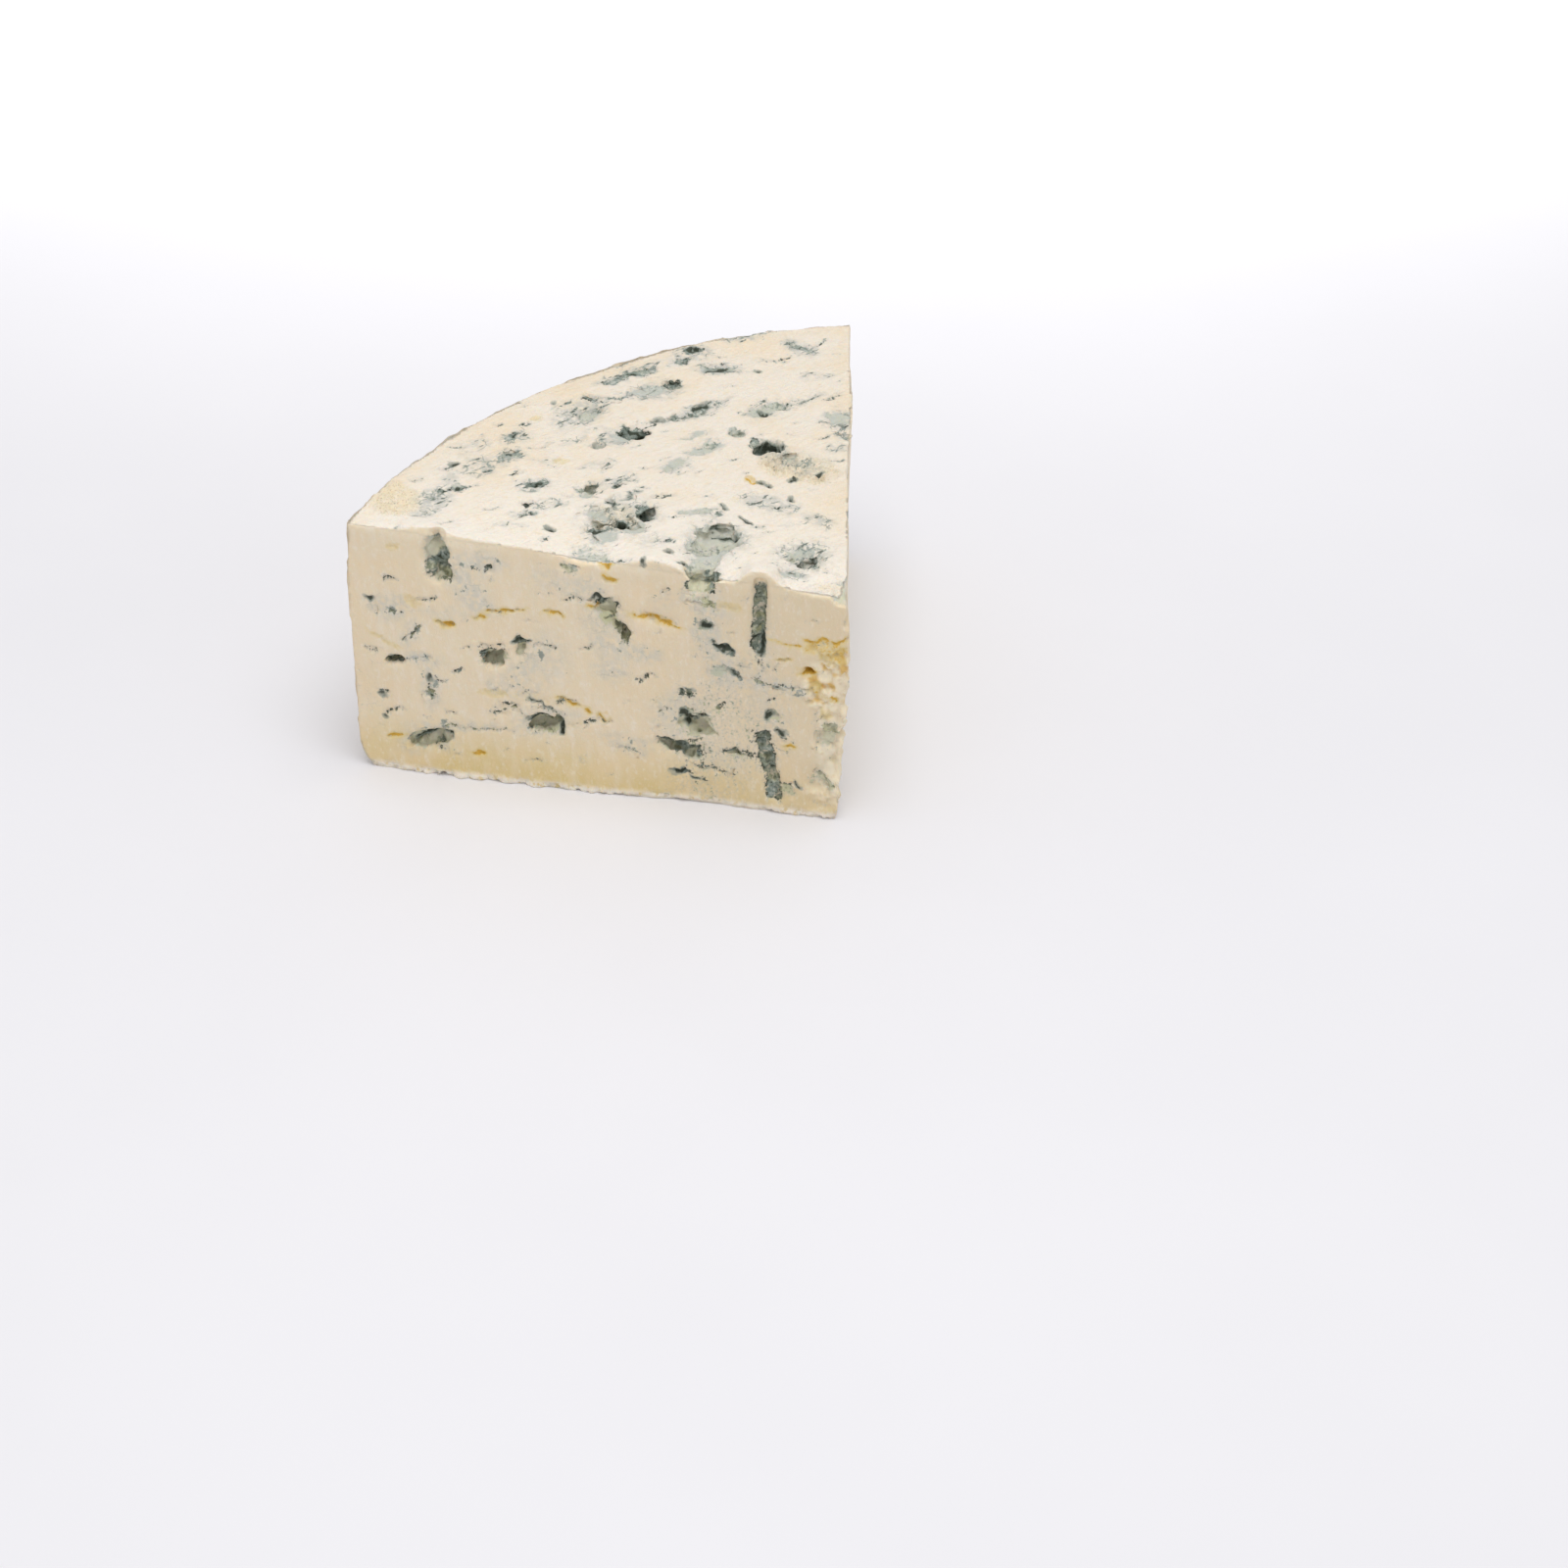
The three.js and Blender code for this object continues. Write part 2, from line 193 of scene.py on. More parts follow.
# The marks that mould and knife left on the cuts, listed one by one. Each is x, y, length, width
# and slant in its cut's own frame, which is seen from outside and starts at the tip: mm, and
# degrees anticlockwise. A sixth number is the mould's darkness, a hole's depth in mm or a veil's
# strength.
TOP_MOULD = (
    (-70.3, 76.4, 8, 5, 20, -0.6), (-67.3, 80.4, 8, 4.2, 5, 1.2), (-61.5, 84.5, 7, 1.6, 37, 1.1),
    (-52, 91, 14, 1.0, 35, 0.6), (-79.9, 46, 4.6, 7, 10, 0.6), (-61.8, 36.8, 4.4, 9.4, 8, 0.9),
    (-67.4, 31.2, 5, 4, -20, 0.9), (-74.8, 26.3, 7.5, 2.6, 23, 0.7),
    (-71.6, 40.5, 4.6, 1.6, -28, 1.0), (-66.3, 44.4, 6, 1.1, 50, 0.9),
    (-75.8, 33.3, 5.5, 5, 30, -0.2), (-72.3, 22.8, 8, 6, 12, -0.2),
    (-64.3, 28.4, 7, 6, 20, -0.2), (-71, 36, 3, 1.4, -15, 0.8),
    (-40, 24, 18, 13, 55, -0.3), (-38.2, 30.4, 11, 4, -16, -0.4), (-41, 15.5, 5, 8, 0, -0.5),
    (-41.5, 21.6, 9, 1.0, -22, 0.5), (-42, 7.4, 8, 7, 10, 0.9), (-26, 77, 11, 5, -12, 1.0),
    (-19, 73, 6, 3, -25, 0.3), (-12, 17, 7, 5, 40, 1.0), (-56, 108, 6, 4, 30, 1.0),
    (-64, 103, 13, 5, 25, 0.3), (-97, 37, 5, 3, 0, 0.9), (-35, 84, 5, 4, 50, 0.6),
    (-53, 122, 6, 3, 30, 0.6), (-50, 128, 8, 2, 25, 0.7), (-45, 72.6, 12.5, 4.6, 44, -0.3),
    (-48.6, 79.4, 9.5, 2.4, 33, -0.3), (-41.6, 77, 3.4, 0.9, 60, 0.6),
    (-51.8, 60.5, 8, 0.8, 50, 0.4),
    (-33, 140, 14, 3, 22, 0.4), (-42, 118, 11, 4, 10, 0.6), (-70, 111, 22, 3, 36, 0.6),
    (-3, 95, 8, 8, 10, 0.3), (-27, 97, 13, 4, 38, 0.4), (-81, 95, 7, 3, -10, 0.9),
    (-75, 97, 12, 1.5, 5, 0.6), (-104, 72, 7, 3, 30, 0.6), (-118, 44, 5, 4, 30, 0.7),
    (-95, 48, 8, 3, 25, 0.6), (-104, 61, 8, 3, 30, 0.5), (-71, 50, 5, 3, 15, 1.0),
    (-46, 39, 12, 4, 15, 0.2), (-18, 9, 6, 4, 30, 0.2), (-14, 22, 9, 4, 20, 0.4),
    (-2, 85, 6, 2, -30, 0.7), (-53.3, 62, 8.5, 3.8, 52, -0.3), (-16, 133, 9, 3, -25, 0.5),
    (-23, 125, 5, 1.5, 0, 0.5), (-73, 118, 9, 2, 25, 0.4),
)
FRONT_MOULD = (
    (-44, 82, 9, 9, 0, 1.1), (-43, 79, 7, 1.4, -5, 1.0),
    (-123, 83, 6.5, 10, 2, -0.4), (-121.5, 79, 5, 1.6, 10, 0.8), (-122.3, 75, 8.5, 5.4, -8, 1.2),
    (-137, 41, 4.6, 2.6, 0, 1.0), (-130, 42, 7, 1.2, 5, 0.7), (-107, 46, 8, 5.0, 12, -0.3),
    (-110, 46.5, 1.6, 5, 20, 0.9), (-106, 48.6, 6, 1.0, 8, 0.9), (-98, 53, 6, 2, 25, 0.8),
    (-97, 48, 6, 1, -30, 0.4), (-71, 69.5, 8, 2.6, 0, 1.1),
    (-68, 60, 3.6, 9, 24, 1.1), (-71, 65, 5, 7, 25, -0.3), (-47, 31, 5, 9, 40, 0.5),
    (-42, 29, 7, 3.6, -10, 0.2), (-50, 20, 17, 2.4, -16, 0.9), (-32, 20, 12, 1.5, -5, 0.7),
    (-91, 25.5, 10, 2, 10, 1.0), (-90, 22.5, 9, 3.6, 12, -0.5), (-89, 29, 9, 1, -10, 0.6),
    (-88, 23.6, 8, 0.9, 14, 0.9), (-93, 21.4, 5, 0.8, 20, 0.9), (-125, 11.6, 7, 0.8, 30, 0.9),
    (-127, 13, 12, 5.4, 22, -0.9), (-125, 16, 10, 0.9, 25, 0.8), (-129, 12, 7, 0.8, 30, 0.8),
    (-124, 10, 3, 1.4, -20, 0.9), (-26.5, 70, 3.8, 24, -1, 0.7), (-27, 60, 2.4, 7, 8, 1.0),
    (-25.5, 53, 2, 7, 10, 0.7), (-22.6, 16, 4.6, 25, 11, 0.8), (-20.5, 4.8, 5, 2, -20, 0.8),
    (-16, 9, 5, 4, -30, 0.6),
    (-3, 31, 8, 9, 0, 0.5), (-5, 14, 7, 4, -20, 0.7), (-48, 11, 5, 2, -10, 0.9),
    (-44, 8, 4, 1.5, -25, 0.8), (-38, 58, 10, 2, -32, 0.8), (-42, 66, 4, 4, 20, 0.7),
    (-33, 49, 8, 2, -35, 0.7), (-38, 50, 5, 5, 0, 0.3), (-22, 35, 4, 4, 0, 0.6),
    (-143, 60, 1.2, 6, 10, 0.7), (-136.5, 59, 5, 1.8, 15, 0.7), (-112, 77.5, 2.4, 2, 20, 0.8),
    (-107.5, 77.5, 4, 2.2, 30, 0.9), (-16, 47, 11, 1.6, -10, 0.6), (-25, 48, 5, 2, -20, 0.5),
    (-42, 74, 8, 3, -20, 0.2), (-141, 29, 3, 2, 0, 0.6), (-126, 31, 3, 5, 10, 0.5),
    (-130, 53, 2.5, 6, -20, 0.6), (-106, 26, 5, 2, 20, 0.6), (-101, 28, 8, 1.5, -15, 0.4),
    (-48, 40, 6, 2, 10, 0.7), (-41, 14, 14, 1.5, -10, 0.6), (-18, 28, 5, 2, -20, 0.6),
    (-66, 18, 8, 2, -5, 0.4), (-83, 81, 5, 3, 0, 0.3), (-112, 19, 22, 1.2, 4, 0.4),
)
TOP_HOLES = (
    (-54, 16, 3.2, 3.0, 0, 3.2), (-89, 25, 2.6, 2.4, 0, 2.2), (-77, 71, 3.0, 2.4, 0, 2.4),
    (-18, 49, 2.6, 2.4, 0, 2.2), (-71, 50, 4.0, 2.2, 10, 2.4), (-11, 18, 3.4, 4.4, -20, 2.8),
    (-81, 96, 6.0, 2.0, -8, 1.8), (-94, 48, 3.4, 2.4, 30, 2.0), (-118, 43, 3.0, 2.0, 10, 1.6),
    (-120, 57, 3.4, 2.0, 30, 1.2), (-103, 73, 4.0, 1.8, 30, 1.2), (-50, 128, 4.0, 2.0, 30, 1.2),
    (-42, 118, 8.0, 2.0, 15, 1.2), (-38, 117, 6.0, 1.4, 0, 1.2), (-69, 112, 5.0, 1.6, 30, 1.0),
    (-27, 96, 3.0, 2.2, 38, 2.2), (-15, 103, 4.0, 1.4, 30, 1.0), (-3, 90, 3.4, 1.8, -40, 1.2),
    (-30, 118, 2.0, 1.6, 0, 0.8), (-67.4, 31.2, 4.0, 2.6, -20, 2.0),
    (-74.8, 26.3, 6.5, 1.8, 23, 1.8), (-71.6, 40.5, 4.4, 1.2, -28, 1.4),
    (-66.3, 44.4, 5.5, 0.9, 50, 1.0), (-61.3, 36, 2.6, 7, 8, 1.0),
    (-67.0, 81.2, 6.5, 2.2, 5, 1.5), (-24, 79, 8.0, 2.6, -25, 2.0),
    (-9, 64, 3.4, 2.0, 30, 1.2), (-26, 56, 5.0, 2.0, -20, 1.6), (-37, 31, 9.0, 1.8, -10, 1.4),
    (-60, 87, 5.0, 1.6, 30, 1.2), (-46, 97, 8.0, 2.0, 38, 1.2), (-104, 62, 4.0, 1.6, 20, 1.0),
    (-38, 42, 5.0, 1.2, -35, 0.8), (-31, 36, 4.0, 1.4, -40, 1.0), (-17, 58, 4.0, 1.4, 10, 0.8),
    (-61, 9, 2.0, 1.4, 0, 0.8), (-48, 11, 3.0, 1.6, 0, 1.0), (-93, 92, 2.0, 1.6, 0, 0.8),
)
FRONT_HOLES = (
    (-98, 53, 6.0, 1.6, 25, 1.6), (-92, 31, 8.0, 1.2, -20, 1.0), (-50, 11, 4.6, 1.8, 0, 1.6),
    (-45, 9, 3.4, 1.2, -25, 1.2), (-42, 66, 3.4, 2.4, -20, 1.4), (-38, 58, 8.0, 1.8, -32, 1.8),
    (-33, 49, 6.0, 1.6, -35, 1.0), (-23, 36, 3.0, 2.6, 0, 1.6), (-19, 29, 4.0, 1.6, -20, 1.0),
    (-25.8, 61, 2.4, 9.0, 6, 1.6), (-137, 41, 4.0, 2.6, 0, 1.8), (-141, 28, 2.2, 1.8, 0, 1.0),
    (-126, 30, 2.2, 1.8, 0, 1.0), (-126, 37, 2.4, 2.0, -30, 0.8), (-94, 25, 6.0, 2.0, 25, 1.6),
    (-86, 22, 3.0, 4.0, -20, 1.4), (-129, 13, 8.0, 1.4, 30, 1.0), (-122, 15, 5.0, 1.6, 10, 1.2),
    (-74, 71, 8.0, 1.6, 8, 1.4), (-48, 31, 3.0, 7.0, 35, 1.6), (-43, 32, 5.0, 1.6, 20, 1.4),
    (-53, 21, 8.0, 1.6, -16, 1.6), (-20, 46, 5.0, 1.2, -14, 0.8), (-13, 12, 5.0, 1.2, -45, 0.8),
    (-144, 62, 1.4, 4.0, 15, 0.8), (-141, 20, 2.0, 1.6, 0, 1.0), (-48, 42, 4.0, 1.4, 10, 1.2),
)
# Ochre tears, where the paste split and dried, with their depth
TOP_TEARS = (
    (-88, 61, 4.0, 1.6, 20, 0.4), (-97, 84, 3.0, 1.4, 20, 0.4), (-73, 3, 8.0, 3.0, -10, 1.4),
    (-33, 46, 3.0, 1.4, 10, 0.3), (-30, 57, 4.0, 1.8, -20, 1.2), (-53, 37, 5.0, 2.0, 0, 0.2),
)
FRONT_TEARS = (
    (-121, 57, 6.0, 2.4, -10, 1.4), (-111, 60, 4.0, 1.2, 8, 0.8), (-103, 63, 13.0, 1.4, 12, 1.0),
    (-88, 64, 6.0, 1.2, -4, 0.8), (-57, 65.5, 17.0, 1.3, -12, 0.6), (-84, 33, 7.0, 1.6, -22, 1.0),
    (-78, 30, 4.0, 2.0, -40, 0.8), (-73, 29, 4.0, 2.0, -40, 0.8), (-138, 13, 5.0, 1.6, 20, 0.8),
    (-112, 10, 4.0, 1.6, -20, 0.8), (-18, 62, 10.0, 1.0, -3, 0.6), (-18, 57, 5.0, 1.8, 5, 1.0),
    (-11, 53, 5.0, 1.8, 5, 1.2), (-9, 64.5, 8.0, 1.6, 4, 0.8), (-5, 62, 14.0, 6.0, 4, 0.5),
    (-2, 66, 6.0, 1.4, 20, 0.8), (-8, 60, 6.0, 2.0, -30, 0.5), (-4, 44, 5.0, 1.4, -30, 0.6),
    (-9, 47, 3.0, 4.0, 20, 0.5), (-6, 38, 3.0, 3.0, 0, 0.5), (-3, 58, 7.0, 3.0, 10, 0.5),
    (-16, 25, 4.0, 1.4, 5, 0.6), (-35, 73, 6.0, 2.4, -20, 0.4), (-71, 79, 6.0, 2.0, -25, 0.8),
    (-73, 84, 6.0, 3.0, -15, 0.8), (-137, 82, 4.0, 1.6, 0, 0.4), (-107, 33, 8.0, 2.4, 0, 0.4),
    (-95, 33, 12.0, 1.2, -4, 0.3), (-56, 38, 1.4, 4.0, 10, 0.3), (-131, 63, 4.0, 2.0, -30, 0.4),
    (-141, 48, 9.0, 1.2, -28, 0.4), (-76, 68, 3.0, 1.4, 10, 0.6), (-82, 25, 4.0, 1.2, 20, 0.3),
)
# Veils of mould that the knife dragged over the paste
TOP_VEILS = (
    (-83, 88, 24, 10, 47, 1.0), (-69, 33, 26, 20, 35, 0.7), (-45, 74, 14, 7, 40, 0.3),
    (-48, 80, 12, 4, 20, 0.3), (-53, 62, 14, 6, 40, 0.4), (-72, 74, 11, 6, 5, 1.0),
    (-62, 103, 20, 10, 30, 1.0), (-48, 94, 28, 5, 37, 0.9), (-103, 72, 12, 7, 35, 0.8),
    (-104, 61, 12, 8, 30, 1.0), (-93, 60, 9, 4, 20, 0.7), (-112, 55, 9, 11, 50, 0.9),
    (-124, 36, 12, 9, 60, 1.0), (-126, 28, 9, 5, 20, 0.8), (-95, 47, 12, 7, 30, 1.0),
    (-97, 31, 9, 4, 20, 0.8), (-101, 25, 12, 3, 5, 0.6), (-72, 52, 17, 5, 22, 0.7),
    (-17, 69, 22, 12, -25, 0.8), (-24, 46, 18, 8, -14, 0.8), (-43, 38, 13, 5, 12, 0.7),
    (-9, 38, 11, 6, -15, 0.8), (-13, 20, 17, 15, 20, 1.0), (-17, 9, 9, 6, 20, 0.9),
    (-3, 92, 9, 16, 10, 1.0), (-4, 78, 9, 5, 0, 0.8), (-33, 139, 18, 5, 22, 1.0),
    (-16, 133, 13, 7, -25, 0.9), (-42, 118, 15, 7, 10, 0.9), (-51, 125, 14, 8, 35, 0.9),
    (-70, 112, 26, 6, 37, 1.0), (-27, 97, 15, 6, 38, 0.9), (-14, 104, 14, 5, 40, 0.7),
    (-11, 117, 12, 4, 20, 0.6), (-75, 79, 16, 3, 20, 0.5), (-40, 24, 24, 19, 60, 0.8),
    (-85, 72, 12, 4, 30, 0.6), (-120, 46, 6, 16, -10, 0.7), (-77, 60, 12, 4, 25, 0.5),
    (-60, 22, 12, 8, 10, 0.4), (-115, 65, 12, 6, 35, 0.6), (-91, 37, 12, 5, 20, 0.6),
)
FRONT_VEILS = (
    (-113, 69, 9, 20, 35, 0.9), (-138, 60, 14, 9, 0, 0.8), (-128, 42, 12, 5, -5, 0.9),
    (-96, 45, 10, 16, -25, 0.8), (-118, 19, 26, 4, 8, 0.8), (-67, 54, 24, 8, -10, 0.8),
    (-70, 47, 10, 10, 0, 0.7), (-42, 73, 16, 9, -20, 0.9), (-41, 62, 9, 18, 10, 0.9),
    (-35, 50, 14, 11, -30, 0.9), (-21, 47, 22, 6, -8, 0.9), (-25, 54, 9, 40, 0, 0.4),
    (-20, 34, 12, 8, -20, 0.35), (-40, 18, 26, 9, -10, 0.35), (-79, 74, 14, 9, 0, 0.7),
    (-110, 79, 16, 8, 0, 0.8), (-100, 36, 20, 9, -5, 0.6), (-72, 64, 14, 16, 30, 0.7),
    (-5, 24, 10, 26, 0, 0.3), (-126, 34, 7, 18, 0, 0.7), (-90, 48, 14, 18, 0, 0.5),
    (-66, 20, 16, 8, -10, 0.7), (-128, 13, 20, 11, 20, 0.7), (-91, 25, 20, 12, 15, 0.8),
    (-55, 72, 10, 8, 0, 0.4), (-50, 32, 18, 16, 30, 0.7), (-132, 51, 6, 12, -20, 0.6),
    (-120, 60, 20, 5, 5, 0.4), (-88, 76, 16, 7, -15, 0.5),
)
# Dry crumbly ground, with how rough it is
TOP_CRUMBS = (
    (-16, 66, 26, 17, -20, 0.8), (-135, 34, 17, 16, 30, 0.9), (-70, 33, 15, 14, 30, 0.9),
    (-12, 18, 12, 11, 0, 0.5), (-5, 5, 12, 6, 0, 0.5),
)
FRONT_CRUMBS = (
    (-2, 36, 14, 58, 0, 1.0), (-6, 62, 16, 7, 5, 0.7), (-7, 49, 14, 16, 0, 1.0),
    (-4, 12, 12, 14, 0, 0.8),
)
RIGHT_CRUMBS = ((3, 34, 12, 56, 0, 0.9),)
# Soft lumps and dips of the front cut's top edge: place along it, rise and width
EDGE_LUMPS = (
    (-127, 1.4, 14), (-77, -1.2, 12), (-57, 1.4, 14), (-45, -3.2, 8), (-37, -1.5, 9),
    (-26.5, 2.8, 9), (-1, -3.0, 8),
)


# Flecks too small to place by eye, and the marks of the right cut, are drawn at random
HIDDEN_MARKS = 60
HIDDEN_TEARS = 18
FINE_TOP_MARKS = 150
FINE_FRONT_MARKS = 70
RIGHT_CUT = ((3, 8), (147, 84))


def marks_at_random(low, high, count, seed):
    """Marks between two corners of a cut, spread evenly with a seeded draw."""
    draw = np.random.default_rng(seed)
    columns = round(math.sqrt(count * (high[0] - low[0]) / (high[1] - low[1])))
    rows = round(count / columns)
    made = []
    for number in range(columns * rows):
        column, row = number % columns, number // columns
        x = low[0] + (column + draw.uniform(0.1, 0.9)) * (high[0] - low[0]) / columns
        y = low[1] + (row + draw.uniform(0.1, 0.9)) * (high[1] - low[1]) / rows
        length = draw.choice([2.5, 4, 6, 9, 14])
        width = min(length * draw.uniform(0.2, 0.6), 5)
        made.append((x, y, length, width, draw.uniform(-25, 35), draw.uniform(0.2, 1)))
    return made


def fine_mark(mark):
    """The fleck that a mark at random leaves on a cut that shows its own larger marks too."""
    x, y, length, width, slant = mark[:5]
    return x, y, 0.5 * length, 0.3 * width, slant + 15


RIGHT_MOULD = marks_at_random(*RIGHT_CUT, HIDDEN_MARKS, 5)
RIGHT_VEILS = [(x, y, 1.6 * l, 2.2 * w, slant, 0.9) for x, y, l, w, slant, _ in RIGHT_MOULD]
RIGHT_HOLES = [(x, y, 0.6 * l, 0.4 * w, slant, 1.5 * dark)
               for x, y, l, w, slant, dark in RIGHT_MOULD if dark > 0.6]
RIGHT_TEARS = [(x, y, l, 0.2 * w + 0.8, slant / 2, 0.9 * dark)
               for x, y, l, w, slant, dark in marks_at_random(*RIGHT_CUT, HIDDEN_TEARS, 6)]
TOP_FLECKS = [fine_mark(mark) for mark in marks_at_random((-140, 4), (-2, 146), FINE_TOP_MARKS, 7)]
FRONT_FLECKS = [
    fine_mark(mark) for mark in marks_at_random((-146, 6), (-4, 80), FINE_FRONT_MARKS, 8)
]


# The paste itself. The skin is smoothed where the knife left it flat, then every mark is pressed in
# or raised along it, with grain, crumbs and the torn walls of the pockets, before it is thinned.
FACES = ("front", "right", "top", "rind", "foot")
MOULD = {"top": TOP_MOULD, "front": FRONT_MOULD, "right": RIGHT_MOULD}
HOLES = {"top": TOP_HOLES, "front": FRONT_HOLES, "right": RIGHT_HOLES}
TEARS = {"top": TOP_TEARS, "front": FRONT_TEARS, "right": RIGHT_TEARS}
VEILS = {"top": TOP_VEILS, "front": FRONT_VEILS, "right": RIGHT_VEILS}
CRUMBS = {"top": TOP_CRUMBS, "front": FRONT_CRUMBS, "right": RIGHT_CRUMBS}
FLECKS = {"top": TOP_FLECKS, "front": FRONT_FLECKS, "right": ()}
OUTWARD = {
    "front": np.append(front_out, 0),
    "right": np.array([1.0, 0, 0]),
    "top": np.array([0, 0, 1.0]),
}
DRAG_ON_TOP = math.radians(40)
# Sizes in mm, how often the flat ground is smoothed, and the share of the skin's faces that is kept
LARGE_CRUMB = 4.4
SMALL_CRUMB = 1.9
TORN_LEAF = 3.4
IRON_PASSES = 60
EDGE_REACH = 15
OVER_BOX = 0.5
SHARE_OF_FACES = 0.465
WIDE_MARK = 3.5
LONG_MARK = 20
# How deep inside a mark a point is that lies far outside it
OUTSIDE = -5.0


def on_face(face, points):
    """Where each point lies in a face's own frame, in mm."""
    x, y, z = points.T
    if face == "front":
        return points[:, :2] @ front_along, z
    if face == "right":
        return y, z
    if face == "rind":
        spoke = points[:, :2] - wheel_axis
        turn = np.arctan2(spoke @ np.array([inward[1], -inward[0]]), spoke @ inward)
        return turn * RIND_RADIUS, z
    return x, y


def face_shares(points):
    """How much each point belongs to each face, from 0 to 1, and how deep it lies under it."""
    deep = depths(points)
    shares = {}
    for row, face in enumerate(FACES):
        others = np.delete(deep, row, axis=0).min(axis=0)
        shares[face] = soft_step(others - deep[row], -0.8, 0.8)
    return shares, dict(zip(FACES, deep))


def inside(u, v, mark, squareness=2):
    """How far inside a mark each point is, in mm, and negative outside it."""
    x, y, length, width, slant = mark[:5]
    turn = math.radians(slant)
    a, b = length / 2, width / 2
    along = np.abs((u - x) * math.cos(turn) + (v - y) * math.sin(turn)) / a
    across = np.abs((v - y) * math.cos(turn) - (u - x) * math.sin(turn)) / b
    power = squareness - 1
    ring = (along**squareness + across**squareness) ** (1 / squareness) + 1e-6
    slope = np.hypot(along**power / a, across**power / b) / ring**power + 1e-6
    return np.minimum((1 - ring) / slope, min(a, b))


def is_wide(mark):
    """A patch of mould with an inside and a rim, and no mere crack."""
    return min(mark[2], mark[3]) > WIDE_MARK


def is_long(mark):
    """A channel that a needle left, or as long a scrape."""
    return max(mark[2], mark[3]) > LONG_MARK


def squareness_of(mark):
    """Wide patches and needle channels have corners, and narrow ones taper to their ends."""
    return 4 if is_wide(mark) or is_long(mark) else 2


def ruffled(u, v, points, amount):
    """The face's frame, ruffled so that no mark keeps an even edge."""
    u = u + amount * (noise(points, 3.6, 11) + 0.6 * noise(points, 1.5, 12))
    v = v + amount * (noise(points, 3.4, 13) + 0.6 * noise(points, 1.4, 14))
    return u, v


def lumps(points, size, seed):
    """Rounded crumbs about size mm across: 0 in the gaps between them and 1 on their tops."""
    grid = points / size + seed * 7.7
    cell = np.floor(grid)
    nearest = np.full(len(points), 9.0)
    for corner in range(27):
        spot = cell + np.array([corner % 3 - 1, corner // 3 % 3 - 1, corner // 9 - 1])
        mix = spot @ np.array([[127.1, 269.5, 113.5], [311.7, 183.3, 271.9], [74.7, 246.1, 124.6]])
        draw = np.sin(mix) * 43758.5453
        centre = spot + draw - np.floor(draw)
        nearest = np.minimum(nearest, np.linalg.norm(grid - centre, axis=1))
    return 1 - np.clip(nearest / 0.8, 0, 1) ** 2


def drag_frame(points, shares):
    """Places in mm stretched so that the first axis follows the knife on every face."""
    x, y, z = points.T
    c, s = math.cos(DRAG_ON_TOP), math.sin(DRAG_ON_TOP)
    made = np.stack([x * c + y * s, y * c - x * s, z], axis=1)
    for face in ("front", "right", "rind"):
        u, v = on_face(face, points)
        turned = np.stack([v - 0.1 * u, u + 0.1 * v, 300 + 0 * u], axis=1)
        made = np.where(shares[face][:, None] > 0.5, turned, made)
    return made


def crumbliness(points, shares):
    """How dry and crumbly the paste is, from 0 to 1."""
    total = np.zeros(len(points))
    for face, zones in CRUMBS.items():
        at = np.flatnonzero(shares[face] > 0)
        u, v = ruffled(*on_face(face, points[at]), points[at], 1.5)
        for zone in zones:
            depth = soft_step(inside(u, v, zone), -1, 2)
            total[at] = np.maximum(total[at], shares[face][at] * zone[5] * depth)
    return total


def only(where, make, *settings):
    """Values that are made only at the points where they count."""
    made = np.zeros(len(where))
    made[where] = make(points[where], *settings)
    return made


def weigh(thing, name, weight):
    """A vertex group that holds the weights, in steps of a twentieth."""
    group = thing.vertex_groups.new(name=name)
    steps = np.round(weight * 20).astype(int)
    for step in range(1, 21):
        group.add(np.flatnonzero(steps == step).tolist(), step / 20, "REPLACE")


paste = skin_mesh(SKIN)
points = points_of(paste.data)
deep = np.sort(depths(points), axis=0)
flat_ground = soft_step(deep[1], 3, 6) * (1 - soft_step(deep[0], 0.9, 1.6))
weigh(paste, "flat", flat_ground)
with_modifier(paste, "iron", "SMOOTH", factor=0.5, iterations=IRON_PASSES, vertex_group="flat")
with_modifier(paste, "ease", "SMOOTH", factor=0.5, iterations=1)

points = points_of(paste.data)
normals = normals_of(paste.data)
shares, deep = face_shares(points)
crumbly = crumbliness(points, shares)
stretched = drag_frame(points, shares) * np.array([0.4, 1, 1])
cut = shares["front"] + shares["right"] + shares["top"]
nearest = np.stack(list(deep.values())).min(axis=0)
torn = soft_step(nearest, 0.9, 2.0) * cut
swell = 0.32 * noise(stretched, 7, 1) + 0.22 * noise(stretched, 2.8, 2)
swell *= 0.4 + 0.6 * shares["top"]
u, v = on_face("top", points)
for mark in TOP_MOULD:
    if mark[5] < 0:
        torn *= 1 - 0.8 * soft_step(inside(u, v, mark), -1, 1) * shares["top"]
swell += torn * (0.7 * only(torn > 0, noise, 2.8, 4) + 0.5 * only(torn > 0, noise, 1.5, 5))
swell += torn * 1.6 * (only(torn > 0, lumps, TORN_LEAF, 16) - 0.6)
rough_foot = (1 - soft_step(deep["foot"], 0.8, 3.5)) * (cut + shares["rind"])
broken = (crumbly > 0) | (rough_foot > 0)
crumb = 1.2 * only(broken, lumps, LARGE_CRUMB, 6) - 1.0
crumb += 0.8 * only(broken, lumps, SMALL_CRUMB, 7)
tip_edge = 1 - soft_step(np.maximum(deep["front"], deep["right"]), 1, 5)
swell += crumbly * 2.4 * crumb * (0.7 + 0.7 * only(broken, noise, 8, 15)) * (1 - 0.5 * tip_edge)
swell += rough_foot * (0.7 * only(broken, noise, 5, 8) + 1.0 * crumb)
on_rind = shares["rind"] > 0
swell += shares["rind"] * 0.45 * (only(on_rind, noise, 7, 9) + only(on_rind, noise, 2.4, 10))
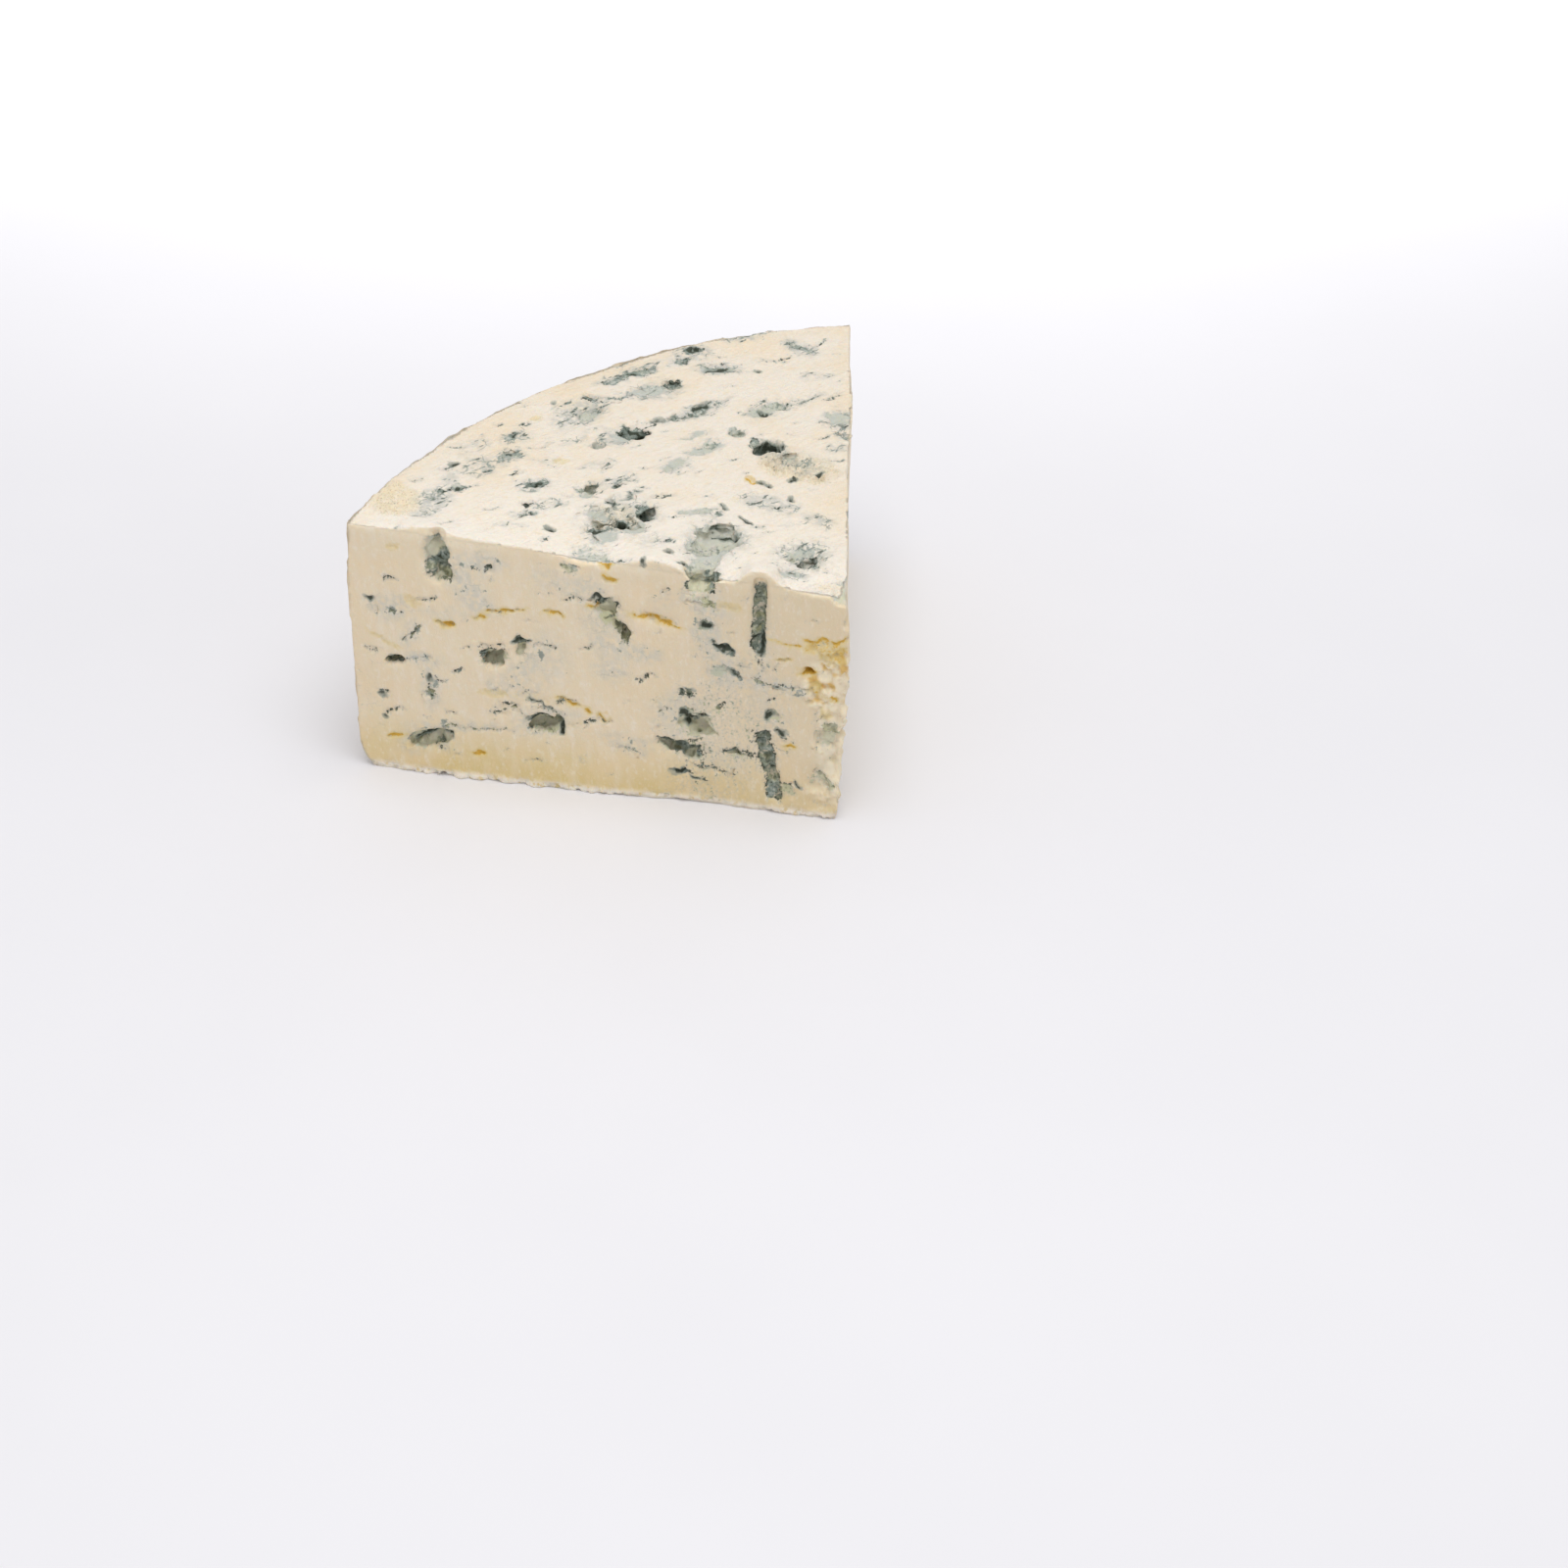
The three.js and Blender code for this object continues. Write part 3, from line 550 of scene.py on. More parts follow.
moved = points + normals * (swell * (1 - 0.96 * shares["foot"]))[:, None]
for face, outward in OUTWARD.items():
    at = np.flatnonzero(shares[face] > 0)
    part = points[at]
    u, v = ruffled(*on_face(face, part), part, 1.3)
    press = np.zeros(len(at))
    frayed = np.zeros(len(at))
    calm = np.zeros(len(at))
    for mark in MOULD[face]:
        depth = inside(u, v, mark, squareness_of(mark))
        frayed = np.maximum(frayed, 1.3 * soft_step(depth, -3, 0))
        press = np.maximum(press, 0.6 * soft_step(depth, -0.4, 0.8))
        if is_long(mark):
            calm = np.maximum(calm, soft_step(depth, -3, -1))
    frayed *= 1 - 0.85 * calm
    press *= 0.7 + 0.9 * noise(part, 2.0, 17)
    for mark in HOLES[face] + TEARS[face]:
        press = np.maximum(press, 0.9 * mark[5] * soft_step(inside(u, v, mark), -0.2, 0.7))
    for mark in FLECKS[face]:
        press = np.maximum(press, 0.6 * soft_step(inside(u, v, mark), -0.3, 0.5))
    for axis in range(3):
        sway = 0.7 * noise(part, 6, 26 + axis) + noise(part, 3.3, 20 + axis)
        sway += 0.8 * noise(part, 1.7, 23 + axis)
        moved[at, axis] += frayed * shares[face][at] * sway * (1 - abs(outward[axis]))
    moved[at] -= (press * shares[face][at])[:, None] * outward
# The front cut's top edge sagged and rose in soft lumps under the knife
u, v = on_face("front", points)
near_edge = 1 - soft_step(np.hypot(deep["front"], deep["top"]), 0, EDGE_REACH)
for x, rise_by, width in EDGE_LUMPS:
    moved[:, 2] += near_edge * rise_by * np.exp(-(((u - x) * 2 / width) ** 4))
# The foot stays on the table top, and nothing reaches far past the solid's own box
low, high = ((np.array(corner) - np.array(TIP)) / MM for corner in cad_box)
moved[:, 2] = np.maximum(moved[:, 2], 0)
moved = np.clip(moved, low - OVER_BOX * np.array([1, 1, 0]), high + OVER_BOX)
place_points(paste.data, moved)
weigh(paste, "crumbs", 0.6 * soft_step(crumbly, 0.1, 0.4) * (1 - shares["top"]))
with_modifier(paste, "settle", "SMOOTH", factor=0.5, iterations=1, vertex_group="crumbs")
hidden = np.maximum.reduce([shares["foot"], 0.6 * shares["rind"], 0.35 * shares["right"]])
weigh(paste, "hidden", hidden)
with_modifier(
    paste, "thin", "DECIMATE", ratio=SHARE_OF_FACES, vertex_group="hidden", vertex_group_factor=2
)
paste.data.shade_smooth()


# What the finish needs to know at each point: how deep it lies in mould, veil, tear, crumb, pit
# and rind, how dark its mould is, with painted shade under overhangs and on walls, how much painted
# light lifts the deepest pits, whether it is on top or just below the top's edge, where a highlight
# is painted, and which way the knife went. The mesh keeps these as its own values, so the finish
# belongs to the cheese.
points = points_of(paste.data)
shares, deep = face_shares(points)
crumbly = crumbliness(points, shares)
nearest = np.stack(list(deep.values())).min(axis=0)
cut = shares["front"] + shares["right"] + shares["top"]
pit = nearest * soft_step(cut, 0.4, 0.9)
mould = np.full(len(points), OUTSIDE)
tear = np.full(len(points), OUTSIDE)
hole = np.full(len(points), OUTSIDE)
# Painted shade: walls and overhangs that face down get darker mould, and floors that face up get
# paler mould, as light from above would fall on them.
steepness = np.clip(0.7 * shares["top"] - normals_of(paste.data)[:, 2], -0.5, 0.8)
painted_shade_by_facing = 0.35 * steepness * (cut > 0.5)
dark = np.full(len(points), 0.1)
veil = np.zeros(len(points))
for face in ("top", "front", "right"):
    at = np.flatnonzero(shares[face] > 0)
    part = points[at]
    share = shares[face][at]
    u, v = ruffled(*on_face(face, part), part, 1.3)
    grown = np.full(len(at), OUTSIDE)
    deepest = np.full(len(at), OUTSIDE)
    tone = dark[at]
    for mark in MOULD[face]:
        depth = inside(u, v, mark, squareness_of(mark))
        grown = np.maximum(grown, depth)
        target = 0.85 * mark[5]
        # Wide patches get painted shade on their upper half, as under an overhang.
        if mark[5] > 0 and is_wide(mark) and not is_long(mark):
            painted_upper_shade = soft_step((v - mark[1]) / min(mark[2], mark[3]), 0.0, 0.45)
            target = 0.5 * mark[5] ** 2 - 0.1 + 0.3 * painted_upper_shade
        past_rim = 1.6 if is_long(mark) else 0.4
        tone += (target - tone) * soft_step(depth, -0.8 - past_rim, 0.2 - past_rim)
    for mark in HOLES[face]:
        deepest = np.maximum(deepest, inside(u, v, mark))
    for mark in FLECKS[face]:
        depth = inside(u, v, mark)
        grown = np.maximum(grown, depth)
        tone += (0.65 - tone) * soft_step(depth, -0.5, 0.2)
    split = np.full(len(at), OUTSIDE)
    for mark in TEARS[face]:
        most = 4 if mark[5] > 0.5 else 4 * mark[5] - 2
        split = np.maximum(split, np.minimum(inside(u, v, mark), most))
    mould[at] = np.where(share > 0.3, np.maximum(mould[at], grown), mould[at])
    tear[at] = np.where(share > 0.3, np.maximum(tear[at], split), tear[at])
    hole[at] = np.where(share > 0.3, np.maximum(hole[at], deepest), hole[at])
    dark[at] = tone
    u, v = ruffled(*on_face(face, part), part, 1.6)
    for mark in VEILS[face]:
        half_width = min(mark[2], mark[3]) / 2
        depth = soft_step(inside(u, v, mark), -0.6 * half_width, 0.7 * half_width)
        veil[at] = np.maximum(veil[at], mark[5] * share * depth)
hollow = np.where(crumbly < 0.3, (pit - 1.0) * 1.5, OUTSIDE)
mould = np.where(tear > -0.5, mould, np.maximum(mould, np.clip(hollow, OUTSIDE, 3)))
near_rind = 1 - soft_step(deep["rind"] + 0.5 * noise(points, 2.2, 18), 0.2, 0.9)
near_rind *= 1 - 0.5 * shares["front"]
# Near the front cut, the top's paler colour follows the way each point faces, partly as painted
# light, so a lip that faces forward keeps the front's colour.
facing_up = soft_step(normals_of(paste.data)[:, 2], 0.45, 0.8)
upper = shares["top"] * np.where(deep["front"] < 6, facing_up, 1)
below_edge = 1 - soft_step(deep["top"] + 0.8 * noise(points, 5, 19), 0.5, 4)
kept_values = {
    "mould": np.clip(mould, OUTSIDE, 4),
    "hole": np.clip(hole, OUTSIDE, 4),
    # The mould's own tone, with the painted shade by facing added to it.
    "dark": dark + painted_shade_by_facing,
    # Painted light for the deepest pits, where little light reaches
    "painted_pit_light": soft_step(pit, 0.8, 2.5) * (1 - soft_step(dark, 0.3, 0.6)),
    "veil": veil,
    "tear": np.clip(tear, OUTSIDE, 4),
    "crumbly": crumbly,
    "gap": crumbly * (1 - only(crumbly > 0, lumps, LARGE_CRUMB, 6)),
    "rind": np.maximum(shares["rind"], near_rind),
    "under_rind": 1 - soft_step(deep["rind"], 1, 10),
    "upper": upper,
    "arris": below_edge * (1 - upper),
    "height": points[:, 2],
}
for name, values in kept_values.items():
    made = paste.data.attributes.new(name, "FLOAT", "POINT")
    made.data.foreach_set("value", values.astype(np.float32))
made = paste.data.attributes.new("drag", "FLOAT_VECTOR", "POINT")
made.data.foreach_set("vector", drag_frame(points, shares).astype(np.float32).ravel())


# The finish. Cream paste lets light in a little. It is palest on top, partly as drier paste and
# partly as painted light, and yellow near the foot; mould lines the pockets blue-grey and is
# smeared thin by the knife; the rind is dry and tan.
CREAM_TOP = "#ece2d3"
CREAM_PALE = "#f5ede1"
CREAM_TAN_AND_SHADE = "#dcc9a6"
CREAM_EDGE_HIGHLIGHT = "#f4e6ca"
CREAM_SIDE = "#eadabd"
CREAM_FOOT = "#dec88f"
CREAM_WARM = "#ecd6b2"
VEIL_BLUE = "#b6b9b5"
VEIL_PALE = "#cbcbc2"
PAINTED_PIT_WHITE = "#e4dfc9"
MOULD_PALE = "#c4c6bc"
MOULD_BLUE = "#89948b"
MOULD_DARK = "#363d2e"
OLIVE_PALE = "#c6c4a0"
OLIVE_GREY = "#8b8b6b"
OCHRE = "#d9ab38"
OCHRE_DARK = "#a5822a"
OCHRE_PALE = "#e0c987"
CRUMB_PALE = "#f6e9cd"
CRUMB_TAN = "#ebdcbc"
CRUMB_BROWN = "#a08a5e"
RIND_TAN = "#ccb693"
RIND_BROWN = "#a08263"
RIND_BLUE = "#a3a8a0"
RIND_PALE = "#dfd5c2"
# How large the spots of each pattern are, in mm: those of the paste, the veils, the mould in the
# pockets, the coat on the rind and the relief that is finer than the mesh
PASTE_CLOUD = 22
PASTE_STREAK = 3.2
PASTE_PATCH = 2.4
PASTE_GRAIN = 1.1
PASTE_SPECK = 0.45
SCRATCH = 1.4
VEIL_DASH = 1.3
VEIL_FLECK = 3.4
CRACK_BEND = 2
CRACKED_PATCH = 6
MOULD_STREAK = 1.5
MOULD_TATTER = 0.9
BLUISH_PATCH = 9
BARE_SHARD = 2.6
COAT_CLOUD = 30
COAT_BLOOM = 12
COAT_SPECK = 5
COAT_WRINKLE = 4
BUMP_GRAIN = 1.6
BUMP_HEIGHT = 1.2
# Moist paste is fairly dull, hardly mirrors, and lets a little light in
PASTE_ROUGHNESS = 0.56
PASTE_SHEEN = 0.4
LIGHT_LET_IN = 0.22

USUAL_SETTINGS = {
    "MapRange": {"interpolation_type": "SMOOTHSTEP"},
    "Mix": {"data_type": "RGBA", "clamp_factor": True},
}


def srgb(code):
    """A #rrggbb colour as the linear values that Blender's sockets take."""
    parts = [int(code[at : at + 2], 16) / 255 for at in (1, 3, 5)]
    return tuple(p / 12.92 if p <= 0.04045 else ((p + 0.055) / 1.055) ** 2.4 for p in parts) + (1,)


def new_material(name):
    made = bpy.data.materials.new(name)
    made.use_nodes = True
    made.node_tree.nodes.clear()
    return made


def add(tree, kind, inputs=(), output=0, **settings):
    """Adds one node and gives one of its outputs. Inputs are listed in order, or by name or number,
    each as a value, a #rrggbb colour or another node's output. MapRange takes a value, low, high
    and what they become, and Mix lays colour 7 over colour 6 by the share 0."""
    made = tree.nodes.new("ShaderNode" + kind)
    for key, value in {**USUAL_SETTINGS.get(kind, {}), **settings}.items():
        setattr(made, key, value)
    for key, value in (inputs if isinstance(inputs, dict) else dict(enumerate(inputs))).items():
        if isinstance(value, bpy.types.NodeSocket):
            tree.links.new(value, made.inputs[key])
        else:
            made.inputs[key].default_value = srgb(value) if isinstance(value, str) else value
    return made.outputs[output] if made.outputs else made


cheese = new_material("blue_veined_cheese_paste")
tree = cheese.node_tree
kept = {name: add(tree, "Attribute", (), "Fac", attribute_name=name) for name in kept_values}
knife = add(tree, "Attribute", (), "Vector", attribute_name="drag")
long_way = add(tree, "VectorMath", (knife, (0.3, 1, 1)), operation="MULTIPLY")
body = add(tree, "TexCoord", (), "Object")
broad = {"Vector": body, "Scale": 1 / (PASTE_CLOUD * MM), "Detail": 2, "Roughness": 0.55}
broad = add(tree, "TexNoise", broad)
middling = {"Vector": long_way, "Scale": 1 / PASTE_STREAK, "Detail": 3, "Roughness": 0.55}
middling = add(tree, "TexNoise", middling)
fine = {"Vector": knife, "Scale": 1 / PASTE_GRAIN, "Detail": 3, "Roughness": 0.6}
fine = add(tree, "TexNoise", fine)
speckle = {"Vector": knife, "Scale": 1 / PASTE_SPECK, "Detail": 1, "Roughness": 0.55}
speckle = add(tree, "TexNoise", speckle)
patchy = {"Vector": knife, "Scale": 1 / PASTE_PATCH, "Detail": 3, "Roughness": 0.6}
patchy = add(tree, "TexNoise", patchy)

# Specks of mould, which the knife drew out into dashes on top
drawn_out = {"Vector": long_way, "Scale": 1 / VEIL_DASH, "Detail": 3, "Roughness": 0.65}
drawn_out = add(tree, "TexNoise", drawn_out)
flecks = {"Vector": knife, "Scale": 1 / VEIL_FLECK, "Detail": 3, "Roughness": 0.6}
flecks = add(tree, "TexNoise", flecks)
drawn_out = add(tree, "Math", (drawn_out, flecks), operation="SUBTRACT")
dashes = add(tree, "Math", (drawn_out, kept["upper"], flecks), operation="MULTIPLY_ADD")
height = kept["height"]

# Paste, from the top's paler cream, partly painted light, down to the yellow ground at the foot
share = add(tree, "MapRange", (height, 26, 2))
colour = add(tree, "Mix", {0: share, 6: CREAM_SIDE, 7: CREAM_FOOT}, 2)
# A pale band just below the top's edge is a painted highlight.
share = add(tree, "Math", (kept["arris"], 0.7), operation="MULTIPLY")
colour = add(tree, "Mix", {0: share, 6: colour, 7: CREAM_EDGE_HIGHLIGHT}, 2)
colour = add(tree, "Mix", {0: kept["upper"], 6: colour, 7: CREAM_TOP}, 2)
share = add(tree, "MapRange", (broad, 0.42, 0.72, 0, 0.5))
colour = add(tree, "Mix", {0: share, 6: colour, 7: CREAM_WARM}, 2)
share = add(tree, "MapRange", (middling, 0.45, 0.8, 0, 0.3))
colour = add(tree, "Mix", {0: share, 6: colour, 7: CREAM_PALE}, 2)
x = add(tree, "SeparateXYZ", (body,), "X")
y = add(tree, "SeparateXYZ", (body,), "Y")
towards_tip = add(tree, "MapRange", (y, -0.01, -0.07, 0, 0.9))
# Darker tan towards the tip end: partly the paste's own tan and partly painted shade.
tan_and_shade_near_tip = add(tree, "Math", (x, y), operation="SUBTRACT")
tan_and_shade_near_tip = add(tree, "MapRange", (tan_and_shade_near_tip, 0.07, 0.145, 0, 0.5))
colour = add(tree, "Mix", {0: tan_and_shade_near_tip, 6: colour, 7: CREAM_TAN_AND_SHADE}, 2)
share = add(tree, "Math", (towards_tip, kept["upper"]), operation="MULTIPLY")
colour = add(tree, "Mix", {0: share, 6: colour, 7: CREAM_PALE}, 2)
share = add(tree, "MapRange", (kept["under_rind"], 0.0, 1.0, 0, 0.25))
colour = add(tree, "Mix", {0: share, 6: colour, 7: CREAM_WARM}, 2)
share = add(tree, "MapRange", (patchy, 0.52, 0.75, 0, 0.35))
colour = add(tree, "Mix", {0: share, 6: colour, 7: CREAM_WARM}, 2)
share = add(tree, "MapRange", (fine, 0.62, 0.78, 0, 0.3))
colour = add(tree, "Mix", {0: share, 6: colour, 7: OCHRE_PALE}, 2)
scratches = add(tree, "VectorMath", (knife, (0.6, 1, 1)), operation="MULTIPLY")
scratches = {"Vector": scratches, "Scale": 1 / SCRATCH, "Detail": 4, "Roughness": 0.65}
scratches = add(tree, "TexNoise", scratches)
share = add(tree, "MapRange", (scratches, 0.54, 0.68, 0, 0.35))
colour = add(tree, "Mix", {0: share, 6: colour, 7: CREAM_WARM}, 2)
share = add(tree, "MapRange", (scratches, 0.46, 0.34, 0, 0.3))
colour = add(tree, "Mix", {0: share, 6: colour, 7: CREAM_PALE}, 2)

# Dry crumbs, also along the foot where the knife dragged them out
lip = add(tree, "MapRange", (height, 3.5, 1.0))
share = add(tree, "MapRange", (patchy, 0.35, 0.5, 0, 0.9))
lip = add(tree, "Math", (lip, share), operation="MULTIPLY")
colour = add(tree, "Mix", {0: lip, 6: colour, 7: CREAM_PALE}, 2)
share = add(tree, "MapRange", (patchy, 0.3, 0.5, 0, 0.8))
dry = add(tree, "Math", (kept["crumbly"], share), operation="MULTIPLY")
over = add(tree, "Mix", {0: kept["upper"], 6: CRUMB_PALE, 7: CRUMB_TAN}, 2)
colour = add(tree, "Mix", {0: dry, 6: colour, 7: over}, 2)
# The gaps between crumbs are tinted tan and ochre: partly the ochre of dried paste and partly
# painted shade in the crevices.
share = add(tree, "MapRange", (height, 25, 55, 0, 1.2))
gap = add(tree, "Math", (kept["gap"], share), operation="MULTIPLY")
share = add(tree, "MapRange", (kept["upper"], 1.0, 0.0))
gap = add(tree, "Math", (gap, share), operation="MULTIPLY")
share = add(tree, "MapRange", (kept["gap"], 0.35, 0.9, 0, 0.5))
colour = add(tree, "Mix", {0: share, 6: colour, 7: CRUMB_TAN}, 2)
share = add(tree, "MapRange", (speckle, 0.6, 0.68, 0, 0.6))
specks = add(tree, "Math", (kept["crumbly"], share), operation="MULTIPLY")
specks = add(tree, "Math", (specks, kept["upper"]), operation="MULTIPLY")
colour = add(tree, "Mix", {0: specks, 6: colour, 7: CRUMB_BROWN}, 2)
share = add(tree, "MapRange", (gap, 0.35, 0.85, 0, 0.75))
colour = add(tree, "Mix", {0: share, 6: colour, 7: OCHRE}, 2)

# Veils: a thin haze with finer, darker dashes in it
veil = kept["veil"]
share = add(tree, "MapRange", (patchy, 0.3, 0.62, 0, 0.7))
haze = add(tree, "Math", (veil, share), operation="MULTIPLY")
over = add(tree, "Mix", {0: kept["upper"], 6: VEIL_PALE, 7: VEIL_BLUE}, 2)
colour = add(tree, "Mix", {0: haze, 6: colour, 7: over}, 2)
dense = add(tree, "Math", (kept["upper"], 0.065, 0.1), operation="MULTIPLY_ADD")
dense = add(tree, "Math", (veil, dense, -0.68), operation="MULTIPLY_ADD")
dense = add(tree, "Math", (dashes, dense), operation="ADD")
dash = add(tree, "MapRange", (dense, 0.0, 0.07, 0, 0.85))
share = add(tree, "MapRange", (veil, 0.0, 0.3))
dash = add(tree, "Math", (dash, share), operation="MULTIPLY")
colour = add(tree, "Mix", {0: dash, 6: colour, 7: MOULD_BLUE}, 2)
darkest = add(tree, "MapRange", (dense, 0.06, 0.12, 0, 0.85))
share = add(tree, "MapRange", (veil, 0.1, 0.5))
darkest = add(tree, "Math", (darkest, share), operation="MULTIPLY")
mostly_on_top = add(tree, "Math", (kept["upper"], 0.8, 0.2), operation="MULTIPLY_ADD")
darkest = add(tree, "Math", (darkest, mostly_on_top), operation="MULTIPLY")
colour = add(tree, "Mix", {0: darkest, 6: colour, 7: MOULD_DARK}, 2)

# Hair-fine cracks that wander through the veils
sway = add(tree, "TexNoise", {"Vector": knife, "Scale": 1 / CRACK_BEND, "Detail": 3}, "Color")
wander = add(tree, "VectorMath", (sway, (4, 4, 4), knife), operation="MULTIPLY_ADD")
cells = add(
    tree, "TexVoronoi", {"Vector": wander, "Scale": 0.17}, "Distance", feature="DISTANCE_TO_EDGE"
)
crack = add(tree, "MapRange", (cells, 0.055, 0.02))
share = add(tree, "MapRange", (veil, 0.15, 0.6))
crack = add(tree, "Math", (crack, share), operation="MULTIPLY")
cracked = {"Vector": knife, "Scale": 1 / CRACKED_PATCH, "Detail": 2, "Roughness": 0.55}
cracked = add(tree, "TexNoise", cracked)
share = add(tree, "MapRange", (cracked, 0.46, 0.56, 0, 0.8))
crack = add(tree, "Math", (crack, share), operation="MULTIPLY")
crack = add(tree, "Math", (crack, mostly_on_top), operation="MULTIPLY")
colour = add(tree, "Mix", {0: crack, 6: colour, 7: MOULD_BLUE}, 2)

# Ochre tears
ragged = add(tree, "Math", (fine, 1.6, -0.8), operation="MULTIPLY_ADD")
torn_open = add(tree, "Math", (kept["tear"], ragged), operation="ADD")
share = add(tree, "MapRange", (torn_open, -1.1, 0.2, 0, 0.75))
colour = add(tree, "Mix", {0: share, 6: colour, 7: OCHRE_PALE}, 2)
share = add(tree, "MapRange", (torn_open, 0.0, 0.35, 0, 0.9))
colour = add(tree, "Mix", {0: share, 6: colour, 7: OCHRE}, 2)
share = add(tree, "MapRange", (torn_open, 0.55, 0.9, 0, 0.4))
colour = add(tree, "Mix", {0: share, 6: colour, 7: OCHRE_DARK}, 2)

# Mould in pockets and cracks. Its tone carries painted shade under overhangs and on the upper half
# of wide patches, and painted light in the deepest pits.
mould_tone_and_shade = kept["dark"]
streaks = add(tree, "VectorMath", (knife, (0.45, 1, 1)), operation="MULTIPLY")
streaks = {"Vector": streaks, "Scale": 1 / MOULD_STREAK, "Detail": 4, "Roughness": 0.65}
streaks = add(tree, "TexNoise", streaks)
loose = add(tree, "Math", (streaks, 5.0, -2.5), operation="MULTIPLY_ADD")
share = add(tree, "MapRange", (mould_tone_and_shade, -0.3, 0.2))
loose = add(tree, "Math", (loose, share), operation="MULTIPLY")
more_on_top = add(tree, "Math", (kept["upper"], 0.5, 0.5), operation="MULTIPLY_ADD")
loose = add(tree, "Math", (loose, more_on_top), operation="MULTIPLY")
loose = add(tree, "Math", (loose, ragged), operation="ADD")
jagged = {"Vector": knife, "Scale": 1 / MOULD_TATTER, "Detail": 3, "Roughness": 0.7}
jagged = add(tree, "TexNoise", jagged)
jagged = add(tree, "Math", (jagged, 4.0, -2.25), operation="MULTIPLY_ADD")
less_on_top = add(tree, "Math", (kept["upper"], -0.6, 1.0), operation="MULTIPLY_ADD")
jagged = add(tree, "Math", (jagged, less_on_top), operation="MULTIPLY")
frayed_edge = add(tree, "MapRange", (kept["mould"], -2.6, -1.2))
fringe = add(tree, "Math", (jagged, loose), operation="ADD")
frayed_edge = add(tree, "Math", (fringe, frayed_edge), operation="MULTIPLY")
grown = add(tree, "Math", (kept["mould"], frayed_edge), operation="ADD")
mottle = add(tree, "Math", (fine, 2.4, -1.3), operation="MULTIPLY_ADD")
shade = add(tree, "Math", (mould_tone_and_shade, mottle), operation="ADD")
# A dark rim around the mould, strongest on the upper half of wide patches: partly the mould's own
# edge and partly painted overhang shade.
rim = add(tree, "MapRange", (grown, 1.3, 0.4))
share = add(tree, "MapRange", (mould_tone_and_shade, 0.15, 0.6, 0, 0.45))
rim = add(tree, "Math", (rim, share), operation="MULTIPLY")
shade = add(tree, "Math", (shade, rim), operation="ADD")
bluish = {"Vector": body, "Scale": 1 / (BLUISH_PATCH * MM), "Detail": 2, "Roughness": 0.55}
bluish = add(tree, "TexNoise", bluish)
bluish = add(tree, "MapRange", (bluish, 0.4, 0.7, 0, 0.6))
share = add(tree, "MapRange", (mould_tone_and_shade, 0.45, 0.6, 0, 0.6))
bluish = add(tree, "Math", (bluish, share), operation="ADD")
bluish = add(tree, "Math", (kept["upper"], 0.8, bluish), operation="MULTIPLY_ADD")
bluish = add(tree, "Math", (bluish, kept["arris"]), operation="ADD")
pale = add(tree, "Mix", {0: bluish, 6: OLIVE_PALE, 7: MOULD_PALE}, 2)
dusky = add(tree, "Mix", {0: bluish, 6: OLIVE_GREY, 7: MOULD_BLUE}, 2)
share = add(tree, "MapRange", (shade, -0.05, 0.55))
bloom = add(tree, "Mix", {0: share, 6: pale, 7: dusky}, 2)
# Painted light: the deepest pits are painted near white, less on top and by the edge, to lift the
# shade in them.
pit_light_share = add(tree, "Math", (kept["upper"], -0.35, 0.6), operation="MULTIPLY_ADD")
half_arris = add(tree, "Math", (kept["arris"], 0.5), operation="MULTIPLY")
pit_light_share = add(tree, "Math", (pit_light_share, half_arris), operation="SUBTRACT")
share = add(tree, "Math", (kept["painted_pit_light"], pit_light_share), operation="MULTIPLY")
bloom = add(tree, "Mix", {0: share, 6: bloom, 7: PAINTED_PIT_WHITE}, 2)
share = add(tree, "MapRange", (shade, 0.55, 1.15))
bloom = add(tree, "Mix", {0: share, 6: bloom, 7: MOULD_DARK}, 2)
share = add(tree, "MapRange", (grown, -1.0, 0.4, 0, 0.4))
colour = add(tree, "Mix", {0: share, 6: colour, 7: VEIL_BLUE}, 2)
mould_here = add(tree, "MapRange", (grown, 0.05, 0.4))
shards = {"Vector": body, "Scale": 1 / (BARE_SHARD * MM), "Detail": 3, "Roughness": 0.6}
shards = add(tree, "TexNoise", shards)
shards = add(tree, "MapRange", (shards, 0.57, 0.62, 0, 0.8))
covered = add(tree, "Math", (1.0, shards), operation="SUBTRACT")
mould_here = add(tree, "Math", (mould_here, covered), operation="MULTIPLY")
colour = add(tree, "Mix", {0: mould_here, 6: colour, 7: bloom}, 2)
pinhole = add(tree, "Math", (ragged, 0.5), operation="MULTIPLY")
pinhole = add(tree, "Math", (kept["hole"], pinhole), operation="ADD")
share = add(tree, "MapRange", (pinhole, -0.7, 0.1, 0, 0.7))
colour = add(tree, "Mix", {0: share, 6: colour, 7: MOULD_BLUE}, 2)
share = add(tree, "MapRange", (pinhole, 0.0, 0.5, 0, 0.9))
colour = add(tree, "Mix", {0: share, 6: colour, 7: MOULD_DARK}, 2)

# Rind: dry ivory and tan in soft clouds, with a blue-grey bloom, brown specks and wrinkles
on_rind = kept["rind"]
level = add(tree, "VectorMath", (knife, (1, 0.4, 1)), operation="MULTIPLY")
clouds = {"Vector": body, "Scale": 1 / (COAT_CLOUD * MM), "Detail": 6, "Roughness": 0.6}
clouds = add(tree, "TexNoise", clouds)
share = add(tree, "MapRange", (clouds, 0.36, 0.64))
coat = add(tree, "Mix", {0: share, 6: RIND_TAN, 7: RIND_PALE}, 2)
blooms = {"Vector": level, "Scale": 1 / COAT_BLOOM, "Detail": 6, "Roughness": 0.6}
blooms = add(tree, "TexNoise", blooms)
share = add(tree, "MapRange", (blooms, 0.44, 0.68, 0, 0.5))
coat = add(tree, "Mix", {0: share, 6: coat, 7: RIND_BLUE}, 2)
